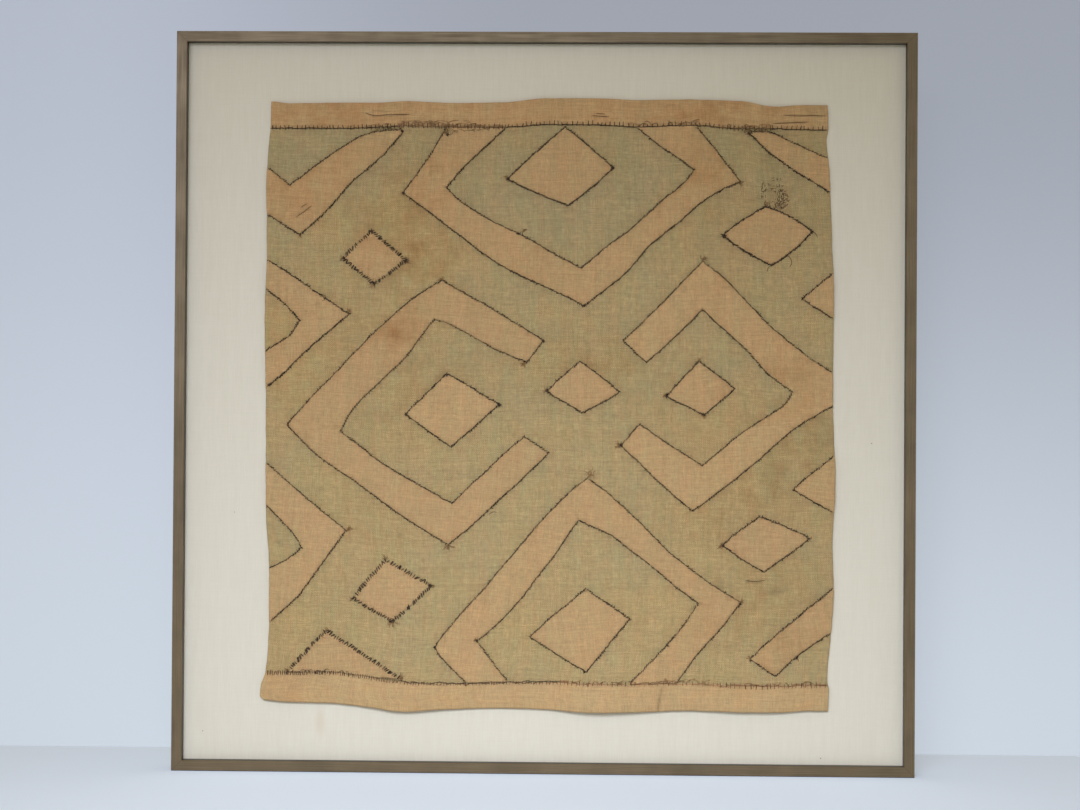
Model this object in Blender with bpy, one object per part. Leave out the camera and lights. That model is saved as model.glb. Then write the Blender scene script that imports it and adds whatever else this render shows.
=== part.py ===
"""A square kuba raffia cloth, sewn to a linen covered board in a narrow picture frame.

The frame stands upright on its lower rail. The cloth faces -Y, +X is to the right seen from
the front, and Z is up. The origin is the middle of the frame's base.
"""
from math import exp, pi, radians, sin, sqrt

import bmesh
import bpy
from mathutils import Matrix, Vector

MM = 0.001                 # the sizes below are in millimetres

FRAME_SIDE = 860.0         # outer width and height of the square frame
FRAME_DEPTH = 38.0         # front face to back edge
FACE_WIDTH = 12.5          # flat front face of a rail
LIP_DEPTH = 10.0           # how far the face stands in front of the board
WALL = 8.0                 # rail behind the face, beside the board
CHAMFER = 0.7              # broken edges of the face
BOARD_THICKNESS = 18.0     # linen covered panel
GAP = 0.3                  # between pieces that touch

GROUND_THICKNESS = 1.2     # woven raffia ground
PATCH_THICKNESS = 1.0      # applied raffia patches
BAND_THICKNESS = 1.3       # bands with their turned edges
BAND_REACH = 5.0           # the bands pass the ground's ends by this much
SEAM_GAP = 0.5             # patches stop this far from the bands

CELL = 30.0                # spacing of the points that carry the cloth's unevenness
FIELD_WIDTH = 693.0        # rectangle of points, a little larger than the cloth
FIELD_HEIGHT = 757.0
FIELD_CENTRE_Z = 428.4

BOARD_FRONT = -FRAME_DEPTH / 2 + LIP_DEPTH + GAP     # y of the linen
BOARD_SIDE = FRAME_SIDE - 2 * (WALL + GAP)

BRONZE = ((0.145, 0.112, 0.066, 1), 0.42, 0.35)      # colour, roughness, metallic
LINEN = ((0.63, 0.59, 0.50, 1), 0.90, 0.0)
OLIVE_RAFFIA = ((0.33, 0.29, 0.15, 1), 0.85, 0.0)
PEACH_RAFFIA = ((0.50, 0.33, 0.17, 1), 0.82, 0.0)
TAN_RAFFIA = ((0.50, 0.31, 0.13, 1), 0.82, 0.0)

# Low swells where the cloth stands off the linen: place, reach to each side, height.
SWELLS = (
    # x,    z,   reach_x, reach_z, height
    (-290, 84, 42, 46, 2.2),
    (-152, 72, 60, 62, 3.8),
    (66, 72, 62, 58, 3.4),
    (245, 74, 74, 54, 3.6),
    (-318, 205, 36, 80, 1.6),
    (-325, 540, 34, 110, 1.5),
    (332, 560, 34, 90, 1.6),
    (334, 300, 36, 95, 1.8),
    (-175, 330, 95, 110, 1.4),
    (20, 240, 110, 80, 1.3),
    (205, 420, 95, 105, 1.5),
    (-60, 600, 120, 75, 1.3),
    (180, 650, 80, 70, 1.2),
    (-250, 640, 60, 70, 1.1),
)
RIPPLE_HEIGHT = 0.35       # slack that runs across the whole cloth on the slant
RIPPLE_LENGTH = 210.0

# The cloth's four sides, corner to corner, seen from the front.
LEFT_EDGE = (
    # x,    z
    (-320, 779), (-321, 749), (-323, 728), (-325, 680), (-324, 596), (-326, 529), (-324, 431),
    (-323, 308), (-318, 220), (-318, 174), (-322, 114), (-327, 99), (-328, 87), (-323, 82),
)
RIGHT_EDGE = (
    # x,   z
    (331, 75), (332, 101), (330, 107), (334, 165), (337, 218), (335, 265), (338, 338),
    (335, 435), (335, 561), (333, 613), (329, 705), (326, 737), (328, 748), (327, 777),
)
HEMS = (
    # x,  top_hem, top_seam, bottom_seam, bottom_hem
    (-298, 777, 748, 114, 80),
    (-250, 778, 748, 115, 79),
    (-202, 778, 749, 110, 75),
    (-163, 780, 751, 105, 70),
    (-110, 778, 750, 103, 73),
    (-50, 779, 750, 105, 75),
    (5, 784, 753, 106, 74),
    (57, 784, 753, 104, 71),
    (110, 782, 751, 104, 72),
    (170, 783, 753, 106, 74),
    (230, 781, 749, 103, 73),
    (270, 775, 749, 103, 73),
    (306, 777, 748, 105, 75),
)

# Four sided patches by their corners.
DIAMONDS = {
    # name:                 top,         right,       bottom,      left
    "upper_left_diamond": ((-202, 628), (-162, 594), (-199, 568), (-235, 597)),
    "top_diamond": ((23, 750), (79, 703), (27, 659), (-44, 690)),
    "upper_right_diamond": ((257, 659), (310, 630), (263, 591), (207, 625)),
    "left_ring_diamond": ((-113, 463), (-52, 427), (-108, 378), (-160, 415)),
    "centre_diamond": ((42, 478), (88, 442), (45, 418), (3, 444)),
    "right_ring_diamond": ((180, 478), (221, 447), (186, 417), (143, 438)),
    "lower_right_diamond": ((251, 299), (308, 274), (256, 236), (208, 266)),
    "bottom_diamond": ((50, 214), (100, 179), (51, 118), (-14, 158)),
    "lower_left_diamond": ((-183, 246), (-130, 216), (-174, 174), (-220, 201)),
}

# Three sided patches by their corners. The two at the right run past the cloth's edge and are
# trimmed there.
POINTS = {
    "right_upper_point": ((345, 589), (299, 552), (345, 523)),
    "right_lower_point": ((345, 377), (290, 331), (345, 299)),
    "bottom_left_point": ((-251, 163), (-165, 108), (-295, 116)),
}

# Long patches by stations across the strip, from one end to the other: a point on the outer
# edge and the point facing it on the inner edge. Ends at a cloth edge run past it and are
# trimmed there.
STRIPS = {
    # name: (outer_x, outer_z, inner_x, inner_z)
    "top_left_strip": (
        (-335, 710, -335, 655), (-298, 681, -285, 624), (-263, 708, -251, 656),
        (-239, 724, -222, 689), (-219, 737, -196, 710), (-198, 744, -178, 730),
        (-168, 747, -166, 744),
    ),
    "left_upper_point": (
        (-336, 603, -336, 570), (-284, 569, -304, 544), (-228, 532, -285, 524),
        (-282, 484, -297, 506), (-307, 459, -311, 497), (-336, 436, -336, 482),
    ),
    "left_lower_point": (
        (-335, 368, -335, 322), (-270, 312, -305, 291), (-247, 293, -290, 274),
        (-229, 280, -281, 259), (-254, 245, -288, 252), (-273, 218, -296, 247),
        (-291, 197, -308, 240), (-330, 163, -330, 229),
    ),
    "top_vee": (
        (-106, 765, -28, 765), (-141, 707, -97, 701), (-165, 673, -115, 679),
        (-122, 641, -99, 664), (-89, 616, -63, 641), (-49, 588, -34, 628), (5, 563, 9, 604),
        (46, 543, 42, 586), (94, 581, 67, 607), (123, 614, 101, 633), (157, 642, 133, 662),
        (181, 664, 163, 688), (226, 688, 173, 701), (202, 719, 132, 730), (165, 765, 88, 765),
    ),
    "top_right_strip": (
        (239, 745, 240, 738), (260, 745, 260, 720), (296, 728, 286, 703), (345, 708, 345, 667),
    ),
    "left_ring": (
        (-1, 502, -20, 477), (-71, 544, -63, 495), (-119, 571, -117, 523),
        (-143, 557, -129, 526), (-196, 512, -167, 476), (-242, 464, -190, 454),
        (-270, 435, -227, 414), (-299, 402, -236, 394), (-264, 368, -210, 375),
        (-213, 332, -183, 355), (-166, 299, -143, 332), (-110, 264, -106, 312),
        (-85, 285, -89, 329), (-47, 320, -62, 354), (6, 371, -23, 390),
    ),
    "right_ring": (
        (92, 502, 119, 478), (136, 545, 154, 509), (183, 595, 183, 539), (217, 567, 208, 517),
        (252, 530, 231, 496), (288, 498, 265, 460), (345, 459, 288, 445), (345, 433, 286, 438),
        (295, 405, 278, 428), (248, 364, 233, 399), (202, 327, 206, 376), (173, 305, 184, 357),
        (138, 335, 150, 379), (90, 381, 112, 405),
    ),
    "bottom_vee": (
        (-70, 90, -26, 90), (-116, 132, -62, 133), (-125, 145, -76, 153),
        (-99, 179, -51, 174), (-69, 212, -25, 203), (-31, 258, -3, 232), (2, 297, 17, 258),
        (34, 329, 31, 281), (51, 342, 41, 294), (76, 324, 60, 286), (104, 299, 77, 278),
        (147, 257, 113, 251), (190, 224, 145, 225), (229, 199, 181, 198),
        (203, 165, 162, 171), (177, 136, 144, 149), (144, 90, 88, 90),
    ),
    "bottom_right_strip": (
        (345, 225, 345, 172), (296, 183, 316, 154), (260, 153, 295, 138), (241, 135, 270, 115),
    ),
}

CUTTER_REACH = 60.0        # cutters run this deep, past every layer of cloth


def clear_scene():
    for obj in list(bpy.data.objects):
        bpy.data.objects.remove(obj, do_unlink=True)


def new_collection(name):
    collection = bpy.data.collections.new(name)
    bpy.context.scene.collection.children.link(collection)
    return collection


def make_material(name, finish):
    colour, roughness, metallic = finish
    material = bpy.data.materials.new(name)
    material.use_nodes = True
    shader = material.node_tree.nodes["Principled BSDF"]
    shader.inputs["Base Color"].default_value = colour
    shader.inputs["Roughness"].default_value = roughness
    shader.inputs["Metallic"].default_value = metallic
    material.diffuse_color = colour
    return material


def add_object(name, mesh, collection, material=None):
    obj = bpy.data.objects.new(name, mesh)
    collection.objects.link(obj)
    if material:
        mesh.materials.clear()
        mesh.materials.append(material)
    return obj


def outline_mesh(name, points, depth, collection):
    """A flat outline in X and Y as a closed slab that is `depth` thick along Z."""
    curve = bpy.data.curves.new(name, "CURVE")
    curve.dimensions = "2D"
    curve.fill_mode = "BOTH"
    curve.extrude = depth * MM / 2
    spline = curve.splines.new("POLY")
    spline.points.add(len(points) - 1)
    for point, (x, y) in zip(spline.points, points):
        point.co = (x * MM, y * MM, 0, 1)
    spline.use_cyclic_u = True
    guide = bpy.data.objects.new(name, curve)
    collection.objects.link(guide)
    bpy.context.view_layer.update()
    mesh = mesh_of(guide)
    mesh.name = name
    bpy.data.objects.remove(guide, do_unlink=True)
    bm = bmesh.new()
    bm.from_mesh(mesh)
    bmesh.ops.remove_doubles(bm, verts=bm.verts, dist=0.00001)
    bmesh.ops.recalc_face_normals(bm, faces=bm.faces)
    bm.to_mesh(mesh)
    bm.free()
    return mesh


def mesh_of(obj):
    """The object's mesh with its modifiers worked out."""
    graph = bpy.context.evaluated_depsgraph_get()
    return bpy.data.meshes.new_from_object(obj.evaluated_get(graph))


def add_cutter(name, points, collection):
    """A prism with the given outline as seen from the front, through every layer of cloth."""
    mesh = outline_mesh(name, points, 2 * CUTTER_REACH, collection)
    mesh.transform(Matrix.Rotation(radians(90), 4, "X"))
    cutter = add_object(name, mesh, collection)
    cutter.display_type = "WIRE"
    cutter.hide_render = True
    return cutter


def keep_inside(obj, cutter):
    modifier = obj.modifiers.new("inside_" + cutter.name, "BOOLEAN")
    modifier.operation = "INTERSECT"
    modifier.solver = "EXACT"
    modifier.object = cutter


def rail_mesh(collection):
    """The lower rail, with mitred ends, round the frame's centre."""
    front, back = -FRAME_DEPTH / 2, FRAME_DEPTH / 2
    section = (
        (0, front + CHAMFER), (CHAMFER, front), (FACE_WIDTH - CHAMFER, front),
        (FACE_WIDTH, front + CHAMFER), (FACE_WIDTH, front + LIP_DEPTH),
        (WALL, front + LIP_DEPTH), (WALL, back), (0, back),
    )
    mesh = outline_mesh("rail", section, FRAME_SIDE, collection)
    set_back = GAP * sqrt(2) / 2
    for vertex in mesh.vertices:
        inward, depth, along = vertex.co
        side = 1 if along > 0 else -1
        reach = (FRAME_SIDE / 2 - set_back) * MM - inward
        vertex.co = (-side * reach, depth, inward - FRAME_SIDE / 2 * MM)
    return mesh


def build_frame(collection):
    bronze = make_material("bronze_finish", BRONZE)
    mesh = rail_mesh(collection)
    sides = ("rail_bottom", "rail_left", "rail_top", "rail_right")
    for quarter, name in enumerate(sides):
        rail = add_object(name, mesh, collection, bronze)
        rail.location = (0, 0, FRAME_SIDE / 2 * MM)
        rail.rotation_euler = (0, quarter * pi / 2, 0)


def build_board(collection):
    mesh = bpy.data.meshes.new("mount_board")
    bm = bmesh.new()
    bmesh.ops.create_cube(bm, size=1)
    bmesh.ops.scale(bm, vec=Vector((BOARD_SIDE, BOARD_THICKNESS, BOARD_SIDE)) * MM, verts=bm.verts)
    bm.to_mesh(mesh)
    bm.free()
    board = add_object("mount_board", mesh, collection, make_material("linen_cover", LINEN))
    board.location = (0, (BOARD_FRONT + BOARD_THICKNESS / 2) * MM, FRAME_SIDE / 2 * MM)


def lift(x, z):
    """How far the cloth's back stands off the linen at this place."""
    slant = (x + 0.6 * z) / RIPPLE_LENGTH
    height = RIPPLE_HEIGHT * (1 + sin(2 * pi * slant))
    for centre_x, centre_z, reach_x, reach_z, swell in SWELLS:
        across = (x - centre_x) / reach_x
        up = (z - centre_z) / reach_z
        height += swell * exp(-across * across - up * up)
    return height


def layer_mesh(name, height, thickness):
    """One layer of cloth over the whole field, `height` in front of the lowest layer's back."""
    columns = round(FIELD_WIDTH / CELL)
    rows = round(FIELD_HEIGHT / CELL)
    bm = bmesh.new()
    bmesh.ops.create_grid(bm, x_segments=columns, y_segments=rows, size=0.5)
    for vertex in bm.verts:
        x = vertex.co.x * FIELD_WIDTH
        z = vertex.co.y * FIELD_HEIGHT + FIELD_CENTRE_Z
        y = BOARD_FRONT - GAP - lift(x, z) - height
        vertex.co = Vector((x, y, z)) * MM
    bmesh.ops.triangulate(bm, faces=bm.faces, quad_method="FIXED")
    front = bmesh.ops.extrude_face_region(bm, geom=bm.faces)["geom"]
    front_points = [item for item in front if isinstance(item, bmesh.types.BMVert)]
    bmesh.ops.translate(bm, vec=(0, -thickness * MM, 0), verts=front_points)
    bmesh.ops.recalc_face_normals(bm, faces=bm.faces)
    mesh = bpy.data.meshes.new(name)
    bm.to_mesh(mesh)
    bm.free()
    return mesh


def cloth_outline():
    bottom = [(x, bottom_hem) for x, _, _, _, bottom_hem in HEMS]
    top = [(x, top_hem) for x, top_hem, _, _, _ in HEMS]
    return bottom + list(RIGHT_EDGE) + top[::-1] + list(LEFT_EDGE)


def ground_outline():
    """The ground stops short of the hems, under the bands, and shows its own side edges."""
    bottom = [(x, bottom_hem + BAND_REACH) for x, _, _, _, bottom_hem in HEMS]
    top = [(x, top_hem - BAND_REACH) for x, top_hem, _, _, _ in HEMS]
    lowest = LEFT_EDGE[-1][1] + BAND_REACH
    highest = LEFT_EDGE[0][1] - BAND_REACH
    right = [point for point in RIGHT_EDGE if lowest < point[1] < highest]
    left = [point for point in LEFT_EDGE if lowest < point[1] < highest]
    return bottom + right + top[::-1] + left


def seam_line(column, shift):
    """One seam, run on past both edges and moved up or down."""
    side = FIELD_WIDTH / 2 + CELL
    points = [(row[0], row[column] + shift) for row in HEMS]
    return [(-side, points[0][1])] + points + [(side, points[-1][1])]


def build_cloth(collection, cutters):
    """The ground, the two bands over its ends, and the patches between the bands."""
    top_seam, bottom_seam = 2, 3
    side = FIELD_WIDTH / 2 + CELL
    above = [(side, FRAME_SIDE), (-side, FRAME_SIDE)]
    below = [(side, 0), (-side, 0)]
    regions = {
        "cloth_outline": cloth_outline(),
        "ground_outline": ground_outline(),
        "top_region": seam_line(top_seam, 0) + above,
        "bottom_region": seam_line(bottom_seam, 0) + below,
        "middle_region": seam_line(bottom_seam, SEAM_GAP) + seam_line(top_seam, -SEAM_GAP)[::-1],
    }
    cut = {name: add_cutter(name, points, cutters) for name, points in regions.items()}

    ground = add_object(
        "ground_cloth", layer_mesh("ground_cloth", 0, GROUND_THICKNESS), collection,
        make_material("olive_raffia", OLIVE_RAFFIA))
    keep_inside(ground, cut["ground_outline"])

    upper = GROUND_THICKNESS + GAP
    tan = make_material("tan_raffia", TAN_RAFFIA)
    for name, region in (("top_band", "top_region"), ("bottom_band", "bottom_region")):
        band = add_object(name, layer_mesh(name, upper, BAND_THICKNESS), collection, tan)
        keep_inside(band, cut["cloth_outline"])
        keep_inside(band, cut[region])

    layer = add_object("patch_layer", layer_mesh("patch_layer", upper, PATCH_THICKNESS), cutters)
    keep_inside(layer, cut["cloth_outline"])
    keep_inside(layer, cut["middle_region"])
    bpy.context.view_layer.update()
    trimmed = mesh_of(layer)
    bpy.data.objects.remove(layer, do_unlink=True)
    peach = make_material("peach_raffia", PEACH_RAFFIA)
    for name, points in patch_outlines().items():
        patch = add_object(name, trimmed.copy(), collection, peach)
        keep_inside(patch, add_cutter(name + "_outline", points, cutters))


def patch_outlines():
    """Every patch's outline by name."""
    outlines = {**DIAMONDS, **POINTS}
    for name, stations in STRIPS.items():
        outer = [(outer_x, outer_z) for outer_x, outer_z, _, _ in stations]
        inner = [(inner_x, inner_z) for _, _, inner_x, inner_z in stations]
        outlines[name] = outer + inner[::-1]
    return outlines


def main():
    clear_scene()
    collection = new_collection("framed_raffia_cloth")
    cutters = new_collection("cutters")
    build_frame(collection)
    build_board(collection)
    build_cloth(collection, cutters)


main()
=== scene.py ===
from bisect import bisect_right
from math import acos, cos, degrees, exp, hypot, pi, radians, sin
from random import Random

import bpy
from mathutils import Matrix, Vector, noise
from mathutils.geometry import delaunay_2d_cdt
from mathutils.kdtree import KDTree


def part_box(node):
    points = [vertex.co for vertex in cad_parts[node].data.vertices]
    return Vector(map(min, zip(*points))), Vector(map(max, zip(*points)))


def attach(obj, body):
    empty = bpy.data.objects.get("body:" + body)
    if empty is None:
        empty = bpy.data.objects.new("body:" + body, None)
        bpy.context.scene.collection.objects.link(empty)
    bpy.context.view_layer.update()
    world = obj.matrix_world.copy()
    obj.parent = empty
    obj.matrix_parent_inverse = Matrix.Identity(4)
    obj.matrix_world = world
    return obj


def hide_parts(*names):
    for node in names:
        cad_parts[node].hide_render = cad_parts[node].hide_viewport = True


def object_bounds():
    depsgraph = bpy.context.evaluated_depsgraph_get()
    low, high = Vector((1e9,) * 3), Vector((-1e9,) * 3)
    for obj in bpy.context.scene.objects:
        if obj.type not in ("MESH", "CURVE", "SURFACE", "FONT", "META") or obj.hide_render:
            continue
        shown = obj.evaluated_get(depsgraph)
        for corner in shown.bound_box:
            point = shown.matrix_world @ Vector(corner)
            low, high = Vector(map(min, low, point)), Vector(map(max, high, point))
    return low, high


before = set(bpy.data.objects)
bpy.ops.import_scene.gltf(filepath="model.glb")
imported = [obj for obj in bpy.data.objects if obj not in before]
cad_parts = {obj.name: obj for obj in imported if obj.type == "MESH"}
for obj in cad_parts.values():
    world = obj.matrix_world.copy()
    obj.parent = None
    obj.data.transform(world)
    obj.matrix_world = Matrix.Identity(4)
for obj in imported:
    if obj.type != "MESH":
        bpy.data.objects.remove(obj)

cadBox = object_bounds()
mm = 0.001                      # shapes below are in millimetres, x to the right and z up
boardLow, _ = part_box("mount_board")
linenY = boardLow.y / mm        # the cloth lies in front of this, towards smaller y
frameSide = (cadBox[1].x - cadBox[0].x) / mm

# The camera stands where the photo was taken from.

view = {
    "place": (0.0462, -2.4154, 0.4027),
    "turn": (90.579, -0.372, 1.203),     # degrees, with the photo's slight roll
    "lens": 69.0,
}


def makeCamera():
    data = bpy.data.cameras.new("studioCamera")
    data.lens = view["lens"]
    data.sensor_width = 36.0
    camera = bpy.data.objects.new("studioCamera", data)
    camera.location = view["place"]
    camera.rotation_euler = [radians(angle) for angle in view["turn"]]
    bpy.context.scene.collection.objects.link(camera)
    bpy.context.scene.camera = camera


makeCamera()
print("camera placed")

# Small helpers for building shader nodes.


def addNode(tree, kind, **settings):
    node = tree.nodes.new(kind)
    for key, value in settings.items():
        setattr(node, key, value)
    return node


# links a socket, or sets a plain value
def plug(tree, value, socket):
    if isinstance(value, bpy.types.NodeSocket):
        tree.links.new(value, socket)
    else:
        socket.default_value = value


def maths(tree, operation, *values):
    node = addNode(tree, "ShaderNodeMath", operation=operation)
    for value, socket in zip(values, node.inputs):
        plug(tree, value, socket)
    return node.outputs[0]


def mixColours(tree, factor, first, second, blend="MIX"):
    node = addNode(tree, "ShaderNodeMix", data_type="RGBA", blend_type=blend)
    for index, value in ((0, factor), (6, first), (7, second)):
        plug(tree, value, node.inputs[index])
    return node.outputs[2]


def splitVector(tree, vector):
    node = addNode(tree, "ShaderNodeSeparateXYZ")
    plug(tree, vector, node.inputs[0])
    return node.outputs


def joinVector(tree, x, y, z=0.0):
    node = addNode(tree, "ShaderNodeCombineXYZ")
    for value, socket in zip((x, y, z), node.inputs):
        plug(tree, value, socket)
    return node.outputs[0]


def noiseTone(tree, vector, scale, detail=1.0, dimensions="3D"):
    node = addNode(tree, "ShaderNodeTexNoise", noise_dimensions=dimensions)
    plug(tree, vector, node.inputs["Vector"])
    node.inputs["Scale"].default_value = scale
    node.inputs["Detail"].default_value = detail
    return node.outputs["Fac"]


# noise with a scale of its own on each axis
def stretchedTone(tree, parts, scaleX, scaleZ, seed=0.0, detail=2.0):
    place = joinVector(tree, maths(tree, "MULTIPLY", parts[0], scaleX),
                       maths(tree, "MULTIPLY", parts[1], scaleZ), seed)
    return noiseTone(tree, place, 1.0, detail)


def whiteTone(tree, number):
    node = addNode(tree, "ShaderNodeTexWhiteNoise", noise_dimensions="1D")
    plug(tree, number, node.inputs["W"])
    return node.outputs["Value"]


def rangeTo(tree, value, low, high, toLow=0.0, toHigh=1.0):
    node = addNode(tree, "ShaderNodeMapRange", interpolation_type="SMOOTHSTEP")
    for number, socket in zip((value, low, high, toLow, toHigh), node.inputs):
        plug(tree, number, socket)
    return node.outputs[0]


def readAttribute(tree, name, output="Fac"):
    return addNode(tree, "ShaderNodeAttribute", attribute_name=name).outputs[output]


def addBump(tree, shader, height, strength, distance):
    bump = addNode(tree, "ShaderNodeBump")
    bump.inputs["Strength"].default_value = strength
    bump.inputs["Distance"].default_value = distance
    plug(tree, height, bump.inputs["Height"])
    plug(tree, bump.outputs[0], shader.inputs["Normal"])


def newGroup(name, inputs, outputs):
    group = bpy.data.node_groups.new(name, "ShaderNodeTree")
    for label, kind, value in inputs:
        socket = group.interface.new_socket(name=label, in_out="INPUT", socket_type=kind)
        if value is not None:
            socket.default_value = value
    for label, kind in outputs:
        group.interface.new_socket(name=label, in_out="OUTPUT", socket_type=kind)
    enter = group.nodes.new("NodeGroupInput").outputs
    leave = group.nodes.new("NodeGroupOutput").inputs
    return group, enter, leave


def placeGroup(tree, group, **values):
    node = addNode(tree, "ShaderNodeGroup", node_tree=group)
    for label, value in values.items():
        plug(tree, value, node.inputs[label])
    return node.outputs


def newMaterial(name):
    material = bpy.data.materials.new(name)
    material.use_nodes = True
    tree = material.node_tree
    shader = tree.nodes["Principled BSDF"]
    return material, tree, shader


# Effects that several materials share.


# one set of threads passing over and under the other, all slightly uneven
def makeWeaveGroup():
    group, enter, leave = newGroup(
        "plainWeave",
        [("Place", "NodeSocketVector", None), ("Across", "NodeSocketFloat", 1.2),
         ("Along", "NodeSocketFloat", 1.2), ("Unevenness", "NodeSocketFloat", 0.4)],
        [("ThreadTone", "NodeSocketFloat"), ("Warp", "NodeSocketFloat"),
         ("Height", "NodeSocketFloat")])
    place = splitVector(group, enter["Place"])
    counts = []
    for axis, pitch, seed in ((0, "Across", 3.1), (1, "Along", 47.9)):
        straight = maths(group, "DIVIDE", place[axis], enter[pitch])
        own = noiseTone(group, joinVector(group, place[axis], seed), 0.45, 1.0, "2D")
        wander = noiseTone(group, joinVector(group, place[0], place[1], seed), 0.03, 1.0)
        shift = maths(group, "SUBTRACT", maths(group, "ADD", own, maths(group, "MULTIPLY", wander, 3.0)), 2.0)
        counts.append(maths(group, "MULTIPLY_ADD", shift, enter["Unevenness"], straight))
    indices = [maths(group, "FLOOR", count) for count in counts]
    tones, heights = [], []
    for own, other, side in ((0, 1, 1.0), (1, 0, -1.0)):
        across = maths(group, "MULTIPLY_ADD", maths(group, "FRACT", counts[own]), 2.0, -1.0)
        phase = maths(group, "MULTIPLY", maths(group, "ADD", counts[other], indices[own]), pi)
        over = maths(group, "MULTIPLY_ADD", maths(group, "SINE", phase), 0.5 * side, 0.5)
        bulge = maths(group, "MULTIPLY", maths(group, "MULTIPLY", across, across), 0.55)
        heights.append(maths(group, "SUBTRACT", over, bulge))
        single = whiteTone(group, maths(group, "ADD", indices[own], 0.37 + 61 * own))
        apart = maths(group, "MULTIPLY", indices[own], 5.17)
        drift = noiseTone(group, joinVector(group, apart, maths(group, "MULTIPLY", place[other], 0.12)),
                          1.0, 2.0, "2D")
        tones.append(maths(group, "MULTIPLY_ADD", single, 0.24, maths(group, "MULTIPLY", drift, 0.76)))
    warp = maths(group, "GREATER_THAN", heights[0], heights[1])
    gap = maths(group, "SUBTRACT", tones[0], tones[1])
    plug(group, maths(group, "MULTIPLY_ADD", gap, warp, tones[1]), leave["ThreadTone"])
    plug(group, warp, leave["Warp"])
    plug(group, maths(group, "MAXIMUM", heights[0], heights[1]), leave["Height"])
    return group


# bundles of threads that are a little darker or lighter, running both ways
def makeStreakGroup():
    group, enter, leave = newGroup(
        "threadStreaks",
        [("Place", "NodeSocketVector", None), ("Width", "NodeSocketFloat", 4.0),
         ("Length", "NodeSocketFloat", 60.0)],
        [("Upright", "NodeSocketFloat"), ("Level", "NodeSocketFloat")])
    place = splitVector(group, enter["Place"])
    for output, short, long in (("Upright", 0, 1), ("Level", 1, 0)):
        stretched = joinVector(
            group, maths(group, "DIVIDE", place[short], enter["Width"]),
            maths(group, "DIVIDE", place[long], enter["Length"]), 3.7 * short)
        plug(group, noiseTone(group, stretched, 1.0, 3.0), leave[output])
    return group


# fine unevenness of old fibre: lighter and darker places, and redder and greener ones
def makeMottleGroup():
    group, enter, leave = newGroup(
        "fibreMottle", [("Place", "NodeSocketVector", None)],
        [("Light", "NodeSocketFloat"), ("Red", "NodeSocketFloat")])
    parts = splitVector(group, enter["Place"])
    upright = stretchedTone(group, parts, 0.60, 0.11)
    level = stretchedTone(group, parts, 0.12, 0.55, 9.1)
    grain = noiseTone(group, enter["Place"], 0.62, 3.0)
    light = maths(group, "ADD", maths(group, "MULTIPLY", maths(group, "ADD", upright, level), 0.36),
                  maths(group, "MULTIPLY", grain, 0.28))
    plug(group, light, leave["Light"])
    small = stretchedTone(group, parts, 0.16, 0.07, 31.7, 4.0)
    long = stretchedTone(group, parts, 0.075, 0.016, 57.3, 3.0)
    plug(group, maths(group, "MULTIPLY", maths(group, "ADD", small, long), 0.5), leave["Red"])
    return group


# age and handling: brown stains and dull smudges over a cloth's own colour, and painted shade in slits and
# folds
def makeAgeGroup():
    group, enter, leave = newGroup(
        "handledCloth",
        [("Colour", "NodeSocketColor", (1, 1, 1, 1)), ("Place", "NodeSocketVector", None),
         ("Brown", "NodeSocketFloat", 0.0), ("Soil", "NodeSocketFloat", 0.0),
         ("Slit", "NodeSocketFloat", 0.0)],
        [("Colour", "NodeSocketColor")])
    cloud = noiseTone(group, enter["Place"], 0.045, 5.0)
    fleck = noiseTone(group, enter["Place"], 0.4, 3.0)
    uneven = maths(group, "MULTIPLY_ADD", cloud, 2.8, -0.9)
    brown = maths(group, "MULTIPLY", enter["Brown"], uneven)
    colour = mixColours(group, brown, enter["Colour"], (1.09, 0.93, 0.85, 1), "MULTIPLY")
    soil = maths(group, "MULTIPLY", enter["Soil"], uneven)
    colour = mixColours(group, soil, colour, (0.62, 0.56, 0.50, 1), "MULTIPLY")
    spots = rangeTo(group, fleck, 0.62, 0.74, 0.0, 0.35)
    colour = mixColours(group, spots, colour, (0.66, 0.55, 0.44, 1), "MULTIPLY")
    # painted shade: near black where a slit or fold opens
    colour = mixColours(group, enter["Slit"], colour, (0.035, 0.022, 0.012, 1))
    plug(group, colour, leave["Colour"])
    return group


weaveGroup = makeWeaveGroup()
streakGroup = makeStreakGroup()
mottleGroup = makeMottleGroup()
ageGroup = makeAgeGroup()
print("shared effects made")

# Materials, each with its own dictionary of what a user would change.

raffias = {
    "oliveRaffia": {
        "warp": (0.435, 0.327, 0.160), "weft": (0.530, 0.374, 0.166), "pitch": 1.15,
        "contrast": 0.62, "streak": 0.12, "grey": (0.384, 0.315, 0.178), "bump": 0.55,
        "mottle": 0.90, "blush": 1.0,
    },
    "peachRaffia": {
        "warp": (0.515, 0.341, 0.163), "weft": (0.540, 0.362, 0.178), "pitch": 1.0,
        "contrast": 0.48, "streak": 0.11, "grey": (0.495, 0.340, 0.180), "bump": 0.40,
        "mottle": 0.75, "blush": 0.85,
    },
    "tanRaffia": {
        "warp": (0.550, 0.372, 0.180), "weft": (0.568, 0.376, 0.190), "pitch": 1.0,
        "contrast": 0.50, "streak": 0.12, "grey": (0.500, 0.362, 0.194), "bump": 0.40,
        "mottle": 0.62, "blush": 0.55,
    },
}


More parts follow.
